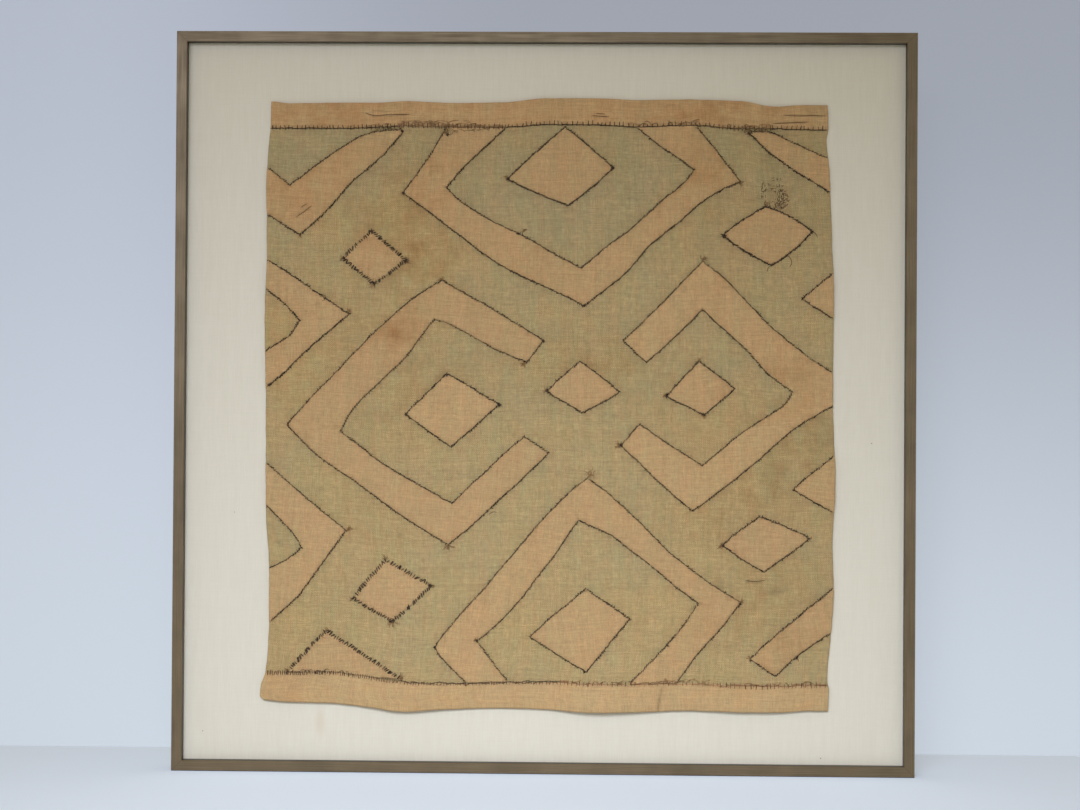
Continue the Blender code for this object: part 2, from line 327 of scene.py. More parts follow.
def makeRaffia(name):
    finish = raffias[name]
    material, tree, shader = newMaterial(name)
    place = readAttribute(tree, "flat", "Vector")
    weave = placeGroup(tree, weaveGroup, Place=place, Across=finish["pitch"],
                       Along=finish["pitch"] * 1.08, Unevenness=0.45)
    broad = placeGroup(tree, streakGroup, Place=place, Width=9.0, Length=75.0)
    fine = placeGroup(tree, streakGroup, Place=place, Width=1.9, Length=24.0)
    colour = mixColours(tree, weave["Warp"], (*finish["weft"], 1), (*finish["warp"], 1))
    tint = readAttribute(tree, "tint")
    cloud = noiseTone(tree, place, 0.022, 3.0)
    drift = maths(tree, "MULTIPLY_ADD", cloud, 0.9, maths(tree, "MULTIPLY_ADD", tint, -0.55, -0.30))
    towardsGrey = maths(tree, "MULTIPLY_ADD", broad["Upright"], 0.45, drift)
    colour = mixColours(tree, towardsGrey, colour, (*finish["grey"], 1))
    fineTone = maths(tree, "ADD", fine["Upright"], fine["Level"])
    both = maths(tree, "MULTIPLY_ADD", broad["Upright"], 1.8, maths(tree, "MULTIPLY", fineTone, 2.4))
    lightness = maths(tree, "MULTIPLY_ADD", both, finish["streak"], 1.0 - 3.3 * finish["streak"])
    threadLight = maths(tree, "MULTIPLY_ADD", weave["ThreadTone"], finish["contrast"],
                        1.0 - 0.5 * finish["contrast"])
    # painted shade: darker where the weave dips between threads
    hollowShade = rangeTo(tree, weave["Height"], 0.15, 0.75, 0.80, 1.04)
    value = maths(tree, "MULTIPLY", maths(tree, "MULTIPLY", lightness, threadLight), hollowShade)
    # the tone attribute carries painted shade beside sewing, seams, hems and selvedges, and each patch's own
    # tone
    value = maths(tree, "MULTIPLY", value, readAttribute(tree, "tone"))
    mottle = placeGroup(tree, mottleGroup, Place=place)
    blotch = maths(tree, "MULTIPLY_ADD", mottle["Light"], finish["mottle"], 1.0 - 0.5 * finish["mottle"])
    value = maths(tree, "MULTIPLY", value, blotch)
    colour = mixColours(tree, 1.0, colour, joinVector(tree, value, value, value), "MULTIPLY")
    redder = mixColours(tree, rangeTo(tree, mottle["Red"], 0.34, 0.66), (0.95, 1.012, 1.0, 1),
                        (1.05, 0.988, 0.985, 1))
    colour = mixColours(tree, finish["blush"], colour, redder, "MULTIPLY")
    aged = placeGroup(tree, ageGroup, Colour=colour, Place=place, Brown=tint,
                      Soil=readAttribute(tree, "soil"), Slit=readAttribute(tree, "slitShade"))
    plug(tree, aged["Colour"], shader.inputs["Base Color"])
    plug(tree, rangeTo(tree, weave["ThreadTone"], 0.2, 0.8, 0.88, 0.74), shader.inputs["Roughness"])
    shader.inputs["Sheen Weight"].default_value = 0.12
    shader.inputs["Sheen Roughness"].default_value = 0.5
    shader.inputs["Specular IOR Level"].default_value = 0.25
    addBump(tree, shader, weave["Height"], finish["bump"], 0.0003)
    return material


linen = {
    "light": (0.792, 0.764, 0.670), "shade": (0.750, 0.718, 0.620), "pitch": 0.75,
    "back": (0.62, 0.58, 0.50),
    "stain": {"x": -258.0, "z": 56.0, "wide": 9.0, "high": 26.0},
}


# place on the frame's front in millimetres, from the piece's own coordinates
def frontPlace(tree):
    coordinates = addNode(tree, "ShaderNodeTexCoord").outputs["Object"]
    parts = splitVector(tree, coordinates)
    return [maths(tree, "DIVIDE", part, mm) for part in parts]


def makeLinen():
    material, tree, shader = newMaterial("linenCover")
    x, y, z = frontPlace(tree)
    place = joinVector(tree, x, z)
    weave = placeGroup(tree, weaveGroup, Place=place, Across=linen["pitch"], Along=linen["pitch"],
                       Unevenness=0.5)
    fine = placeGroup(tree, streakGroup, Place=place, Width=1.6, Length=26.0)
    broad = placeGroup(tree, streakGroup, Place=place, Width=7.0, Length=90.0)
    tone = maths(tree, "ADD", maths(tree, "MULTIPLY", fine["Upright"], 0.5),
                 maths(tree, "MULTIPLY", broad["Upright"], 0.35))
    tone = maths(tree, "ADD", tone, maths(tree, "MULTIPLY", fine["Level"], 0.25))
    tone = maths(tree, "ADD", tone, maths(tree, "MULTIPLY", weave["ThreadTone"], 0.22))
    colour = mixColours(tree, rangeTo(tree, tone, 0.45, 0.9), (*linen["shade"], 1), (*linen["light"], 1))
    spot = linen["stain"]
    away = maths(tree, "DIVIDE", maths(tree, "SUBTRACT", x, spot["x"]), spot["wide"])
    above = maths(tree, "DIVIDE", maths(tree, "SUBTRACT", z, spot["z"]), spot["high"])
    far = maths(tree, "SQRT", maths(tree, "ADD", maths(tree, "MULTIPLY", away, away),
                                    maths(tree, "MULTIPLY", above, above)))
    colour = mixColours(tree, rangeTo(tree, far, 1.0, 0.1, 0.0, 0.35), colour, (0.66, 0.56, 0.42, 1))
    behind = maths(tree, "GREATER_THAN", y, linenY + 1.0)
    colour = mixColours(tree, behind, colour, (*linen["back"], 1))
    plug(tree, colour, shader.inputs["Base Color"])
    shader.inputs["Roughness"].default_value = 0.92
    shader.inputs["Specular IOR Level"].default_value = 0.2
    addBump(tree, shader, weave["Height"], 0.35, 0.00015)
    return material


bronze = {
    "base": (0.206, 0.157, 0.093), "dark": (0.130, 0.096, 0.055), "rub": (0.31, 0.25, 0.157),
    "streakWidth": 1.1, "streakLength": 70.0, "edge": 1.6,
    "face": 12.42, "lipAndFootShade": (0.022, 0.018, 0.012),      # painted shade: the lip behind the face is coloured nearly black painted shadow: so is the lowest edge that it stands on, up to this height
    "footShadowHeight": 0.8,                                      # and so is the lowest edge that it stands on
}


# rubbed bronze finish, its streaks along the rail
def makeBronze(name, upright):
    material, tree, shader = newMaterial(name)
    x, y, z = frontPlace(tree)
    along, across = (z, x) if upright else (x, z)
    place = joinVector(tree, maths(tree, "ADD", across, maths(tree, "MULTIPLY", y, 0.7)), along)
    fine = placeGroup(tree, streakGroup, Place=place, Width=bronze["streakWidth"],
                      Length=bronze["streakLength"])
    cloud = noiseTone(tree, joinVector(tree, x, y, z), 0.03, 3.0)
    tone = maths(tree, "ADD", maths(tree, "MULTIPLY", fine["Upright"], 0.75),
                 maths(tree, "MULTIPLY", cloud, 0.45))
    colour = mixColours(tree, rangeTo(tree, tone, 0.38, 0.82), (*bronze["dark"], 1), (*bronze["base"], 1))
    middle = maths(tree, "SUBTRACT", across, 0.0 if upright else frameSide / 2)
    outer = maths(tree, "SUBTRACT", frameSide / 2, maths(tree, "ABSOLUTE", middle))
    worn = rangeTo(tree, outer, bronze["edge"], 0.2)
    front = cadBox[0].y / mm
    worn = maths(tree, "MULTIPLY", worn, rangeTo(tree, y, front + bronze["edge"], front + 0.2))
    worn = maths(tree, "MULTIPLY", worn, rangeTo(tree, fine["Level"], 0.25, 0.65))
    colour = mixColours(tree, maths(tree, "MULTIPLY", worn, 0.7), colour, (*bronze["rub"], 1))
    # painted shade on the rails' inner lip and painted shadow along the foot, both coloured nearly black
    unlit = maths(tree, "MAXIMUM", maths(tree, "GREATER_THAN", outer, bronze["face"]),
                  maths(tree, "LESS_THAN", z, bronze["footShadowHeight"]))
    colour = mixColours(tree, unlit, colour, (*bronze["lipAndFootShade"], 1))
    plug(tree, colour, shader.inputs["Base Color"])
    shader.inputs["Metallic"].default_value = 0.35
    plug(tree, rangeTo(tree, tone, 0.3, 0.9, 0.50, 0.36), shader.inputs["Roughness"])
    addBump(tree, shader, fine["Upright"], 0.25, 0.0001)
    return material


# darkest and lightest colour of each thread
threads = {
    "darkThread": ((0.020, 0.015, 0.011), (0.095, 0.067, 0.044)),
    "thickThread": ((0.022, 0.015, 0.011), (0.105, 0.070, 0.043)),
    # painted shade: dark lines laid along the split threads
    "splitShadeThread": ((0.070, 0.042, 0.022), (0.140, 0.085, 0.045)),
    "loopThread": ((0.155, 0.085, 0.045), (0.430, 0.265, 0.130)),
    "greyThread": ((0.060, 0.045, 0.033), (0.140, 0.105, 0.072)),
    "brownThread": ((0.055, 0.031, 0.018), (0.175, 0.098, 0.050)),
    "rustThread": ((0.200, 0.110, 0.050), (0.420, 0.255, 0.110)),
    "redThread": ((0.200, 0.080, 0.042), (0.450, 0.215, 0.115)),
    "oliveThread": ((0.140, 0.108, 0.048), (0.330, 0.255, 0.115)),
}


def makeThread(name):
    dark, light = threads[name]
    material, tree, shader = newMaterial(name)
    x, y, z = frontPlace(tree)
    twist = noiseTone(tree, joinVector(tree, x, y, z), 1.3, 2.0)
    tone = maths(tree, "MULTIPLY_ADD", twist, 0.6, maths(tree, "MULTIPLY", readAttribute(tree, "tone"), 0.6))
    colour = mixColours(tree, rangeTo(tree, tone, 0.2, 1.0), (*dark, 1), (*light, 1))
    plug(tree, colour, shader.inputs["Base Color"])
    plug(tree, rangeTo(tree, twist, 0.3, 0.7, 0.7, 0.9), shader.inputs["Roughness"])
    shader.inputs["Specular IOR Level"].default_value = 0.3
    return material


materials = {name: makeRaffia(name) for name in raffias}
materials.update({name: makeThread(name) for name in threads})
materials["linenCover"] = makeLinen()
materials["bronzeLevel"] = makeBronze("bronzeLevel", False)
materials["bronzeUpright"] = makeBronze("bronzeUpright", True)
print("materials made")

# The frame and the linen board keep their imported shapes.

for node, material in (("rail_bottom", "bronzeLevel"), ("rail_top", "bronzeLevel"),
                       ("rail_left", "bronzeUpright"), ("rail_right", "bronzeUpright"),
                       ("mount_board", "linenCover")):
    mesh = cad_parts[node].data
    mesh.materials.clear()
    mesh.materials.append(materials[material])

# Lie of the cloth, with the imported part's own places and heights.

cloth = {
    "gap": 0.3,            # between layers
    "ground": 1.2,         # thicknesses
    "band": 1.3,
    "layer": 1.5,          # patches and bands start this far in front of the ground's back
    "bandReach": 5.0,      # the bands pass the ground's ends by this much
    "seamGap": 0.5,
    "ripple": 0.35,
    "rippleLength": 210.0,
    "fray": 0.32,          # how far the selvedges wander
}

swells = (
    # x,    z,   reachX, reachZ, height
    (-290, 84, 42, 46, 2.2),
    (-152, 72, 60, 62, 4.2),
    (76, 66, 54, 50, 6.6),
    (245, 74, 74, 54, 3.6),
    (-318, 205, 36, 80, 1.6),
    (-325, 540, 34, 110, 1.5),
    (332, 560, 34, 90, 1.6),
    (334, 300, 36, 95, 1.8),
    (-175, 330, 95, 110, 1.4),
    (20, 240, 110, 80, 1.3),
    (205, 420, 95, 105, 1.5),
    (-60, 600, 120, 75, 1.3),
    (180, 650, 80, 70, 1.2),
    (-250, 640, 60, 70, 1.1),
)

leftSide = (
    # x,    z
    (-320, 779), (-321, 749), (-323, 728), (-325, 680), (-324, 596), (-326, 529), (-324, 431),
    (-323, 308), (-318, 220), (-318, 174), (-322, 114), (-327, 99), (-328, 87), (-323, 82),
)
rightSide = (
    # x,   z
    (331, 75), (332, 101), (330, 107), (334, 165), (337, 218), (335, 265), (338, 338),
    (335, 435), (335, 561), (333, 613), (329, 705), (326, 737), (328, 748), (327, 777),
)
hems = (
    # x,  topHem, topSeam, bottomSeam, bottomHem
    (-298, 777, 748, 114, 80),
    (-250, 778, 748, 115, 79),
    (-202, 778, 749, 110, 75),
    (-163, 780, 751, 105, 70),
    (-110, 778, 750, 103, 73),
    (-50, 779, 750, 105, 75),
    (5, 784, 753, 106, 74),
    (57, 784, 753, 104, 71),
    (110, 782, 751, 104, 72),
    (170, 783, 753, 106, 74),
    (230, 781, 749, 103, 73),
    (270, 775, 749, 103, 73),
    (306, 777, 748, 105, 75),
)


def smoothStep(t):
    t = min(max(t, 0.0), 1.0)
    return t * t * (3 - 2 * t)


def blendTo(low, high, t):
    return low + (high - low) * t


# a smooth line through rows of (place, value), level beyond its ends
def smoothLine(rows):
    rows = sorted(rows)
    places = [row[0] for row in rows]
    values = [row[1] for row in rows]
    pairs = list(zip(rows, rows[1:]))
    chords = [(b[1] - a[1]) / (b[0] - a[0]) for a, b in pairs]
    inner = [2 * a * b / (a + b) if a * b > 0 else 0.0 for a, b in zip(chords, chords[1:])]
    slopes = [chords[0]] + inner + [chords[-1]]

    def valueAt(place):
        i = min(max(bisect_right(places, place) - 1, 0), len(places) - 2)
        width = places[i + 1] - places[i]
        t = min(max((place - places[i]) / width, 0.0), 1.0)
        rest = 1 - t
        start = values[i] * (1 + 2 * t) * rest * rest + slopes[i] * width * t * rest * rest
        end = values[i + 1] * t * t * (3 - 2 * t) - slopes[i + 1] * width * t * t * rest
        return start + end

    return valueAt


def fray(place, seed):
    slow = noise.noise(Vector((place / 16, seed, 0.5)))
    quick = noise.noise(Vector((place / 4.5, seed, 7.5)))
    return cloth["fray"] * (1.6 * slow + 0.8 * quick)


# an edge through rows of (place, value), with a share of the fray
def frayedLine(rows, share, seed):
    line = smoothLine(rows)
    return lambda place: line(place) + share * fray(place, seed)


leftX = frayedLine([(z, x) for x, z in leftSide], 1.0, 1.3)
rightX = frayedLine([(z, x) for x, z in rightSide], 1.0, 5.3)
topHem = frayedLine([leftSide[0], rightSide[-1]] + [row[:2] for row in hems], 0.6, 9.3)
bottomHem = frayedLine([leftSide[-1], rightSide[0]] + [(row[0], row[4]) for row in hems], 0.6, 13.3)
topSeam = frayedLine([(row[0], row[2]) for row in hems], 0.5, 17.3)
bottomSeam = frayedLine([(row[0], row[3]) for row in hems], 0.5, 21.3)


def lift(x, z):
    slant = (x + 0.6 * z) / cloth["rippleLength"]
    height = cloth["ripple"] * (1 + sin(2 * pi * slant))
    for centreX, centreZ, reachX, reachZ, swell in swells:
        across = (x - centreX) / reachX
        up = (z - centreZ) / reachZ
        height += swell * exp(-across * across - up * up)
    return height


# y of a layer that starts this far in front of the ground's back
def layerY(x, z, height):
    broad = noise.noise(Vector((x / 40, z / 40, 4.4)))
    small = noise.noise(Vector((x / 13, z / 13, 9.4)))
    limp = 0.35 * max(0.5 + broad, 0) + 0.14 * max(0.5 + small, 0)
    return linenY - cloth["gap"] - lift(x, z) - limp - height


# Patches by their corners, or by stations across a long strip.

diamonds = {
    # name:                 top,         right,       bottom,      left
    "upper_left_diamond": ((-202, 628), (-162, 594), (-199, 568), (-235, 597)),
    "top_diamond": ((23, 750), (79, 703), (27, 659), (-44, 690)),
    "upper_right_diamond": ((257, 659), (310, 630), (263, 591), (207, 625)),
    "left_ring_diamond": ((-113, 463), (-52, 427), (-108, 378), (-160, 415)),
    "centre_diamond": ((42, 478), (88, 442), (45, 418), (3, 444)),
    "right_ring_diamond": ((180, 478), (221, 447), (186, 417), (143, 438)),
    "lower_right_diamond": ((251, 299), (308, 274), (256, 236), (208, 266)),
    "bottom_diamond": ((50, 214), (100, 179), (51, 118), (-14, 158)),
    "lower_left_diamond": ((-183, 246), (-130, 216), (-174, 174), (-220, 201)),
}
points = {
    "right_upper_point": ((345, 589), (299, 552), (345, 523)),
    "right_lower_point": ((345, 377), (290, 331), (345, 299)),
    "bottom_left_point": ((-251, 163), (-165, 108), (-295, 116)),
}
strips = {
    # name: (outerX, outerZ, innerX, innerZ)
    "top_left_strip": (
        (-335, 710, -335, 655), (-298, 681, -285, 624), (-263, 708, -251, 656),
        (-239, 724, -222, 689), (-219, 737, -196, 710), (-198, 744, -178, 730),
        (-168, 747, -166, 744),
    ),
    "left_upper_point": (
        (-336, 603, -336, 570), (-284, 569, -304, 544), (-228, 532, -285, 524),
        (-282, 484, -297, 506), (-307, 459, -311, 497), (-336, 436, -336, 482),
    ),
    "left_lower_point": (
        (-335, 368, -335, 322), (-270, 312, -305, 291), (-247, 293, -290, 274),
        (-229, 280, -281, 259), (-254, 245, -288, 252), (-273, 218, -296, 247),
        (-291, 197, -308, 240), (-330, 163, -330, 229),
    ),
    "top_vee": (
        (-106, 765, -28, 765), (-141, 707, -97, 701), (-165, 673, -115, 679),
        (-122, 641, -99, 664), (-89, 616, -63, 641), (-49, 588, -34, 628), (5, 563, 9, 604),
        (46, 543, 42, 586), (94, 581, 67, 607), (123, 614, 101, 633), (157, 642, 133, 662),
        (181, 664, 163, 688), (226, 688, 173, 701), (202, 719, 132, 730), (165, 765, 88, 765),
    ),
    "top_right_strip": (
        (240, 746, 238, 743), (261, 745, 262, 720), (296, 728, 286, 703), (345, 708, 345, 667),
    ),
    "left_ring": (
        (-1, 502, -20, 477), (-71, 544, -63, 495), (-119, 571, -117, 523),
        (-143, 557, -129, 526), (-196, 512, -167, 476), (-242, 464, -190, 454),
        (-270, 435, -227, 414), (-299, 402, -236, 394), (-264, 368, -210, 375),
        (-213, 332, -183, 355), (-166, 299, -143, 332), (-110, 264, -106, 312),
        (-85, 285, -89, 329), (-47, 320, -62, 354), (6, 371, -23, 390),
    ),
    "right_ring": (
        (92, 502, 119, 478), (136, 545, 154, 509), (183, 595, 183, 539), (217, 567, 208, 517),
        (252, 530, 231, 496), (288, 498, 265, 460), (345, 459, 288, 445), (345, 433, 286, 438),
        (295, 405, 278, 428), (248, 364, 233, 399), (202, 327, 206, 376), (173, 305, 184, 357),
        (138, 335, 150, 379), (90, 381, 112, 405),
    ),
    "bottom_vee": (
        (-70, 90, -26, 90), (-116, 132, -62, 133), (-125, 145, -76, 153),
        (-99, 179, -51, 174), (-69, 212, -25, 203), (-31, 258, -3, 232), (2, 297, 17, 258),
        (34, 329, 31, 281), (51, 342, 41, 294), (76, 324, 60, 286), (104, 299, 77, 278),
        (147, 257, 113, 251), (190, 224, 145, 225), (229, 199, 181, 198),
        (203, 165, 162, 171), (177, 136, 144, 149), (144, 90, 88, 90),
    ),
    "bottom_right_strip": (
        (345, 225, 345, 172), (296, 183, 316, 154), (260, 153, 295, 138), (241, 135, 270, 115),
    ),
}

patch = {
    "step": 2.5,           # spacing of points along an outline and over a patch
    "sharpTurn": 32.0,     # degrees: corners that turn more stay sharp
    "bow": 0.5,            # sides between sharp corners swell out by this much
    "bowed": {"upper_right_diamond": 2.4, "lower_right_diamond": 1.2, "top_diamond": 0.9},
    "sway": 0.9,           # broad and small unevenness of the cut
    "nick": 0.4,
    "edgeRise": 0.45,      # the turned edge starts this high and is full a little way in
    "fullRise": 1.25,
    "turnedEdge": 2.4,
    "slack": 0.30,         # how much it billows, and how the sewing gathers its edge
    "gather": 0.14,
    "gatherSpacing": 6.1,
    "sewnShade": 0.13, "sewnSoil": 0.30, "brown": 0.10,
    "tones": {             # patches that are lighter or darker than the rest
        "right_ring": 1.03, "upper_right_diamond": 0.98, "left_ring": 0.98, "bottom_left_point": 0.98,
        "left_ring_diamond": 1.02, "lower_right_diamond": 0.97, "bottom_right_strip": 0.97,
    },
}


def cornersOf(name):
    if name in strips:
        rows = strips[name]
        corners = [row[:2] for row in rows] + [row[2:] for row in rows][::-1]
    else:
        corners = list(diamonds.get(name) or points[name])
    return [Vector(corner) for corner in corners]


def signedArea(path):
    total = 0.0
    for here, after in zip(path, path[1:] + path[:1]):
        total += here.x * after.y - after.x * here.y
    return total / 2


def sway(point):
    x, z = point
    broadX = noise.noise(Vector((x / 26, z / 26, 31.5)))
    broadZ = noise.noise(Vector((x / 26, z / 26, 57.5)))
    nickX = noise.noise(Vector((x / 6, z / 6, 83.5)))
    nickZ = noise.noise(Vector((x / 6, z / 6, 97.5)))
    return Vector((x + patch["sway"] * broadX + patch["nick"] * nickX,
                   z + patch["sway"] * broadZ + patch["nick"] * nickZ))


# direction through a corner, or None where it stays sharp
def cornerDirection(before, here, after):
    arriving = (here - before).normalized()
    leaving = (after - here).normalized()
    turn = degrees(acos(max(-1.0, min(1.0, arriving.dot(leaving)))))
    return None if turn > patch["sharpTurn"] else (arriving + leaving).normalized()


# a patch's outline, counter-clockwise from the front, before it is trimmed at edges and seams
def outlineOf(name):
    corners = cornersOf(name)
    if signedArea(corners) < 0:
        corners.reverse()
    bow = patch["bowed"].get(name, patch["bow"])
    count = len(corners)
    path = []
    for i in range(count):
        before, start, end, after = (corners[(i + k) % count] for k in (-1, 0, 1, 2))
        side = end - start
        leaving = cornerDirection(before, start, end)
        arriving = cornerDirection(start, end, after)
        straight = leaving is None and arriving is None
        leaving = side if leaving is None else leaving * side.length
        arriving = side if arriving is None else arriving * side.length
        outward = Vector((side.y, -side.x)).normalized() * (bow if straight else 0.0)
        steps = max(1, round(side.length / patch["step"]))
        for k in range(steps):
            t = k / steps
            rest = 1 - t
            place = start * ((1 + 2 * t) * rest * rest) + end * (t * t * (3 - 2 * t))
            place += leaving * (t * rest * rest) - arriving * (t * t * rest)
            path.append(sway(place + outward * (4 * t * rest)))
    return path


# how far inside a side the point is, and the point moved onto that side
limits = (
    (lambda p: p.x - leftX(p.y), lambda p: Vector((leftX(p.y), p.y))),
    (lambda p: rightX(p.y) - p.x, lambda p: Vector((rightX(p.y), p.y))),
    (lambda p: topSeam(p.x) - cloth["seamGap"] - p.y,
     lambda p: Vector((p.x, topSeam(p.x) - cloth["seamGap"]))),
    (lambda p: p.y - bottomSeam(p.x) - cloth["seamGap"],
     lambda p: Vector((p.x, bottomSeam(p.x) + cloth["seamGap"]))),
)


def trimmed(path):
    for inside, onto in limits:
        depths = [inside(point) for point in path]
        if min(depths) >= 0:
            continue
        kept = []
        for i, here in enumerate(path):
            there = path[(i + 1) % len(path)]
            depth, next_ = depths[i], depths[(i + 1) % len(path)]
            if depth >= 0:
                kept.append(here)
            if (depth >= 0) != (next_ >= 0):
                kept.append(onto(here.lerp(there, depth / (depth - next_))))
        path = []
        for here, there in zip(kept, kept[1:] + kept[:1]):
            span = (there - here).length
            if span < 0.25:
                continue
            path.append(here)
            pieces = round(span / patch["step"]) if span > 1.6 * patch["step"] else 1
            path.extend(onto(here.lerp(there, k / pieces)) for k in range(1, pieces))
    return path


patchNames = list(strips) + list(diamonds) + list(points)
outlines = {name: trimmed(outlineOf(name)) for name in patchNames}


def nearSide(point, edge, seam):
    return (point.x - leftX(point.y) < edge or rightX(point.y) - point.x < edge
            or topSeam(point.x) - point.y < seam or point.y - bottomSeam(point.x) < seam)


# places along a closed outline every spacing: point, direction, distance so far
def walk(path, spacing):
    places = []
    arc, due = 0.0, 0.0
    for here, there in zip(path, path[1:] + path[:1]):
        side = there - here
        length = side.length
        while due < arc + length:
            places.append((here.lerp(there, (due - arc) / length), side / length, due))
            due += spacing
        arc += length
    return places


# a tree that finds the nearest of some places
def lookupOf(places):
    tree = KDTree(len(places))
    for i, place in enumerate(places):
        tree.insert((place.x, place.y, 0), i)
    tree.balance()
    return tree


# every sewn line as points, and how far along its outline each lies
sewnPlaces = [(point, arc) for name in patchNames for point, _, arc in walk(outlines[name], 1.0)
              if not nearSide(point, 2.0, 1.5)]
sewnTree = lookupOf([point for point, _ in sewnPlaces])
sewnArcs = [arc for _, arc in sewnPlaces]

pucker = {"reach": 14, "dip": 0.30, "dipReach": 2.6, "gather": 0.16, "gatherReach": 5, "spacing": 7.3}


# small dips and gathers beside a sewn line, in millimetres away from the viewer
def puckerAt(x, z):
    _, index, away = sewnTree.find((x, z, 0))
    if away > pucker["reach"]:
        return 0.0
    gather = sin(sewnArcs[index] * 2 * pi / pucker["spacing"] + 2.4 * sin(sewnArcs[index] / 9))
    dip = pucker["dip"] * exp(-(away / pucker["dipReach"]) ** 2)
    return dip + pucker["gather"] * (1 + gather) * exp(-away / pucker["gatherReach"])


# Marks of age: creases, slits and stains, with painted shade in the slits and folds.

creases = (
    # fromX, fromZ, toX, toZ, half width, depth, painted slit shade from 0 to 1
    (-211, 766, -196, 761, 0.9, 0.5, 0.3),       # split threads in the top band
    (-199, 762, -158, 764, 0.9, 0.5, 0.3),
    (-205, 768, -178, 769, 0.9, 0.3, 0.25),
    (-170, 756, -148, 757, 0.9, 0.3, 0.25),
    (48, 763, 74, 762, 0.9, 0.3, 0.2),
    (54, 766, 70, 765, 0.9, 0.3, 0.15),
    (276, 765, 325, 764, 0.9, 0.5, 0.3),
    (263, 755, 306, 757, 0.9, 0.4, 0.25),
    (33, 782, 33, 756, 2.4, 0.35, 0.0),
    (98, 782, 96, 756, 2.2, 0.3, 0.0),
    (-86, 778, -87, 754, 2.4, 0.3, 0.0),
    (139, 104, 134, 69, 1.4, 1.6, 0.42),         # fold in the bottom band
    (-202, 108, -203, 78, 2.6, 0.4, 0.0),
    (-68, 101, -66, 76, 2.6, 0.4, 0.0),
    (-290, 644, -271, 658, 1.6, 0.6, 0.3),       # nicks in the upper left patch
    (-285, 655, -276, 661, 1.2, 0.4, 0.2),
    (234, 225, 258, 225, 1.3, 0.7, 0.65),
    (262, 213, 284, 211, 1.4, 0.6, 0.30),
    (-312, 268, -300, 262, 1.3, 0.5, 0.3),
    (-60, 470, -38, 452, 5.0, 0.45, 0.0),        # soft creases in the ground
    (250, 410, 300, 352, 6.0, 0.5, 0.0),
    (-250, 250, -180, 262, 6.0, 0.45, 0.0),
    (-190, 700, -150, 620, 7.0, 0.5, 0.0),
    (190, 300, 230, 240, 6.0, 0.45, 0.0),
)


def toSegment(x, z, x0, z0, x1, z1):
    length = hypot(x1 - x0, z1 - z0)
    along = ((x - x0) * (x1 - x0) + (z - z0) * (z1 - z0)) / length
    across = abs((x - x0) * (z1 - z0) - (z - z0) * (x1 - x0)) / length
    return along / length, across


# depth of the creases at a place, and how much painted shade darkens a slit or fold there
def creaseAt(x, z):
    depth, slitShade = 0.0, 0.0
    for x0, z0, x1, z1, half, deep, slitShadeShare in creases:
        if abs(x - (x0 + x1) / 2) > 60 or abs(z - (z0 + z1) / 2) > 60:
            continue
        bend = 1.2 * noise.noise(Vector((x / 9, z0, 3.3))) if abs(x1 - x0) > abs(z1 - z0) else 0.0
        share, across = toSegment(x, z + bend, x0, z0, x1, z1)
        fade = smoothStep(share / 0.2) * smoothStep((1 - share) / 0.2)
        near = exp(-(across / half) ** 2) * fade
        depth = max(depth, deep * near)
        slitShade = max(slitShade, slitShadeShare * near)
    return depth, slitShade


groundSpots = (
    # x,   z, reachX, reachZ, tint (greener below 0, browner above), soil
    (23, 676, 140, 60, -0.52, 0.00),
    (-250, 715, 90, 55, -0.55, 0.00),
    (-301, 480, 42, 70, 0.60, 0.10),
    (-156, 655, 50, 80, 0.35, 0.50),
    (-214, 514, 80, 60, 0.30, 0.25),
    (249, 705, 60, 40, -0.10, 0.20),
    (268, 672, 20, 22, -0.20, 0.30),
    (313, 650, 38, 60, -0.10, 0.18),
    (-142, 597, 45, 45, 0.55, 0.35),
    (-125, 434, 50, 50, 0.35, 0.32),
    (-221, 651, 55, 50, 0.45, 0.15),
    (44, 470, 90, 32, 0.25, 0.25),
    (183, 405, 60, 42, 0.40, 0.12),
    (184, 289, 50, 42, 0.40, 0.10),
    (123, 180, 42, 40, 0.40, 0.05),
    (195, 636, 35, 40, 0.30, 0.20),
    (300, 385, 55, 60, 0.20, 0.55),
    (240, 325, 60, 45, 0.30, 0.40),
    (285, 215, 60, 50, 0.20, 0.50),
    (215, 180, 40, 50, 0.25, 0.25),
    (-214, 294, 60, 60, 0.30, 0.12),
    (-290, 165, 50, 60, 0.35, 0.08),
    (-20, 170, 60, 60, 0.25, 0.00),
    (64, 500, 60, 50, 0.05, 0.15),
    (-190, 410, 60, 50, 0.10, 0.15),
    (125, 440, 70, 40, -0.15, 0.10),
    (-100, 455, 70, 50, -0.15, 0.05),
)
patchSpots = (
    (-169, 515, 30, 30, 0.60, 0.80),
    (197, 699, 45, 40, 0.25, 0.30),
    (-135, 698, 38, 50, 0.25, 0.30),
    (245, 451, 32, 32, 0.20, 0.35),
    (-306, 666, 40, 50, 0.25, 0.20),
    (-270, 690, 60, 50, 0.30, 0.15),
    (280, 450, 60, 50, 0.25, 0.25),
    (170, 700, 60, 40, 0.25, 0.10),
    (200, 600, 60, 60, 0.15, 0.10),
    (-190, 640, 60, 60, 0.30, 0.25),
    (-40, 570, 50, 40, 0.25, 0.20),
    (190, 190, 60, 60, 0.15, 0.18),
    (280, 140, 60, 60, 0.15, 0.20),
    (-300, 500, 60, 60, 0.20, 0.10),
)


bandSpots = (
    (-251, 767, 75, 60, 0.30, 0.35),
    (212, 772, 70, 60, 0.35, 0.40),
    (-20, 770, 400, 60, 0.45, 0.20),
    (-300, 95, 45, 40, 0.15, 0.20),
)


def spotsAt(spots, x, z):
    tint, soil = 0.0, 0.0
    for centreX, centreZ, reachX, reachZ, spotTint, spotSoil in spots:
        near = exp(-((x - centreX) / reachX) ** 2 - ((z - centreZ) / reachZ) ** 2)
        tint += spotTint * near
        soil += spotSoil * near
    return tint, soil


# Sheets are closed meshes with a front, a back and a rim.


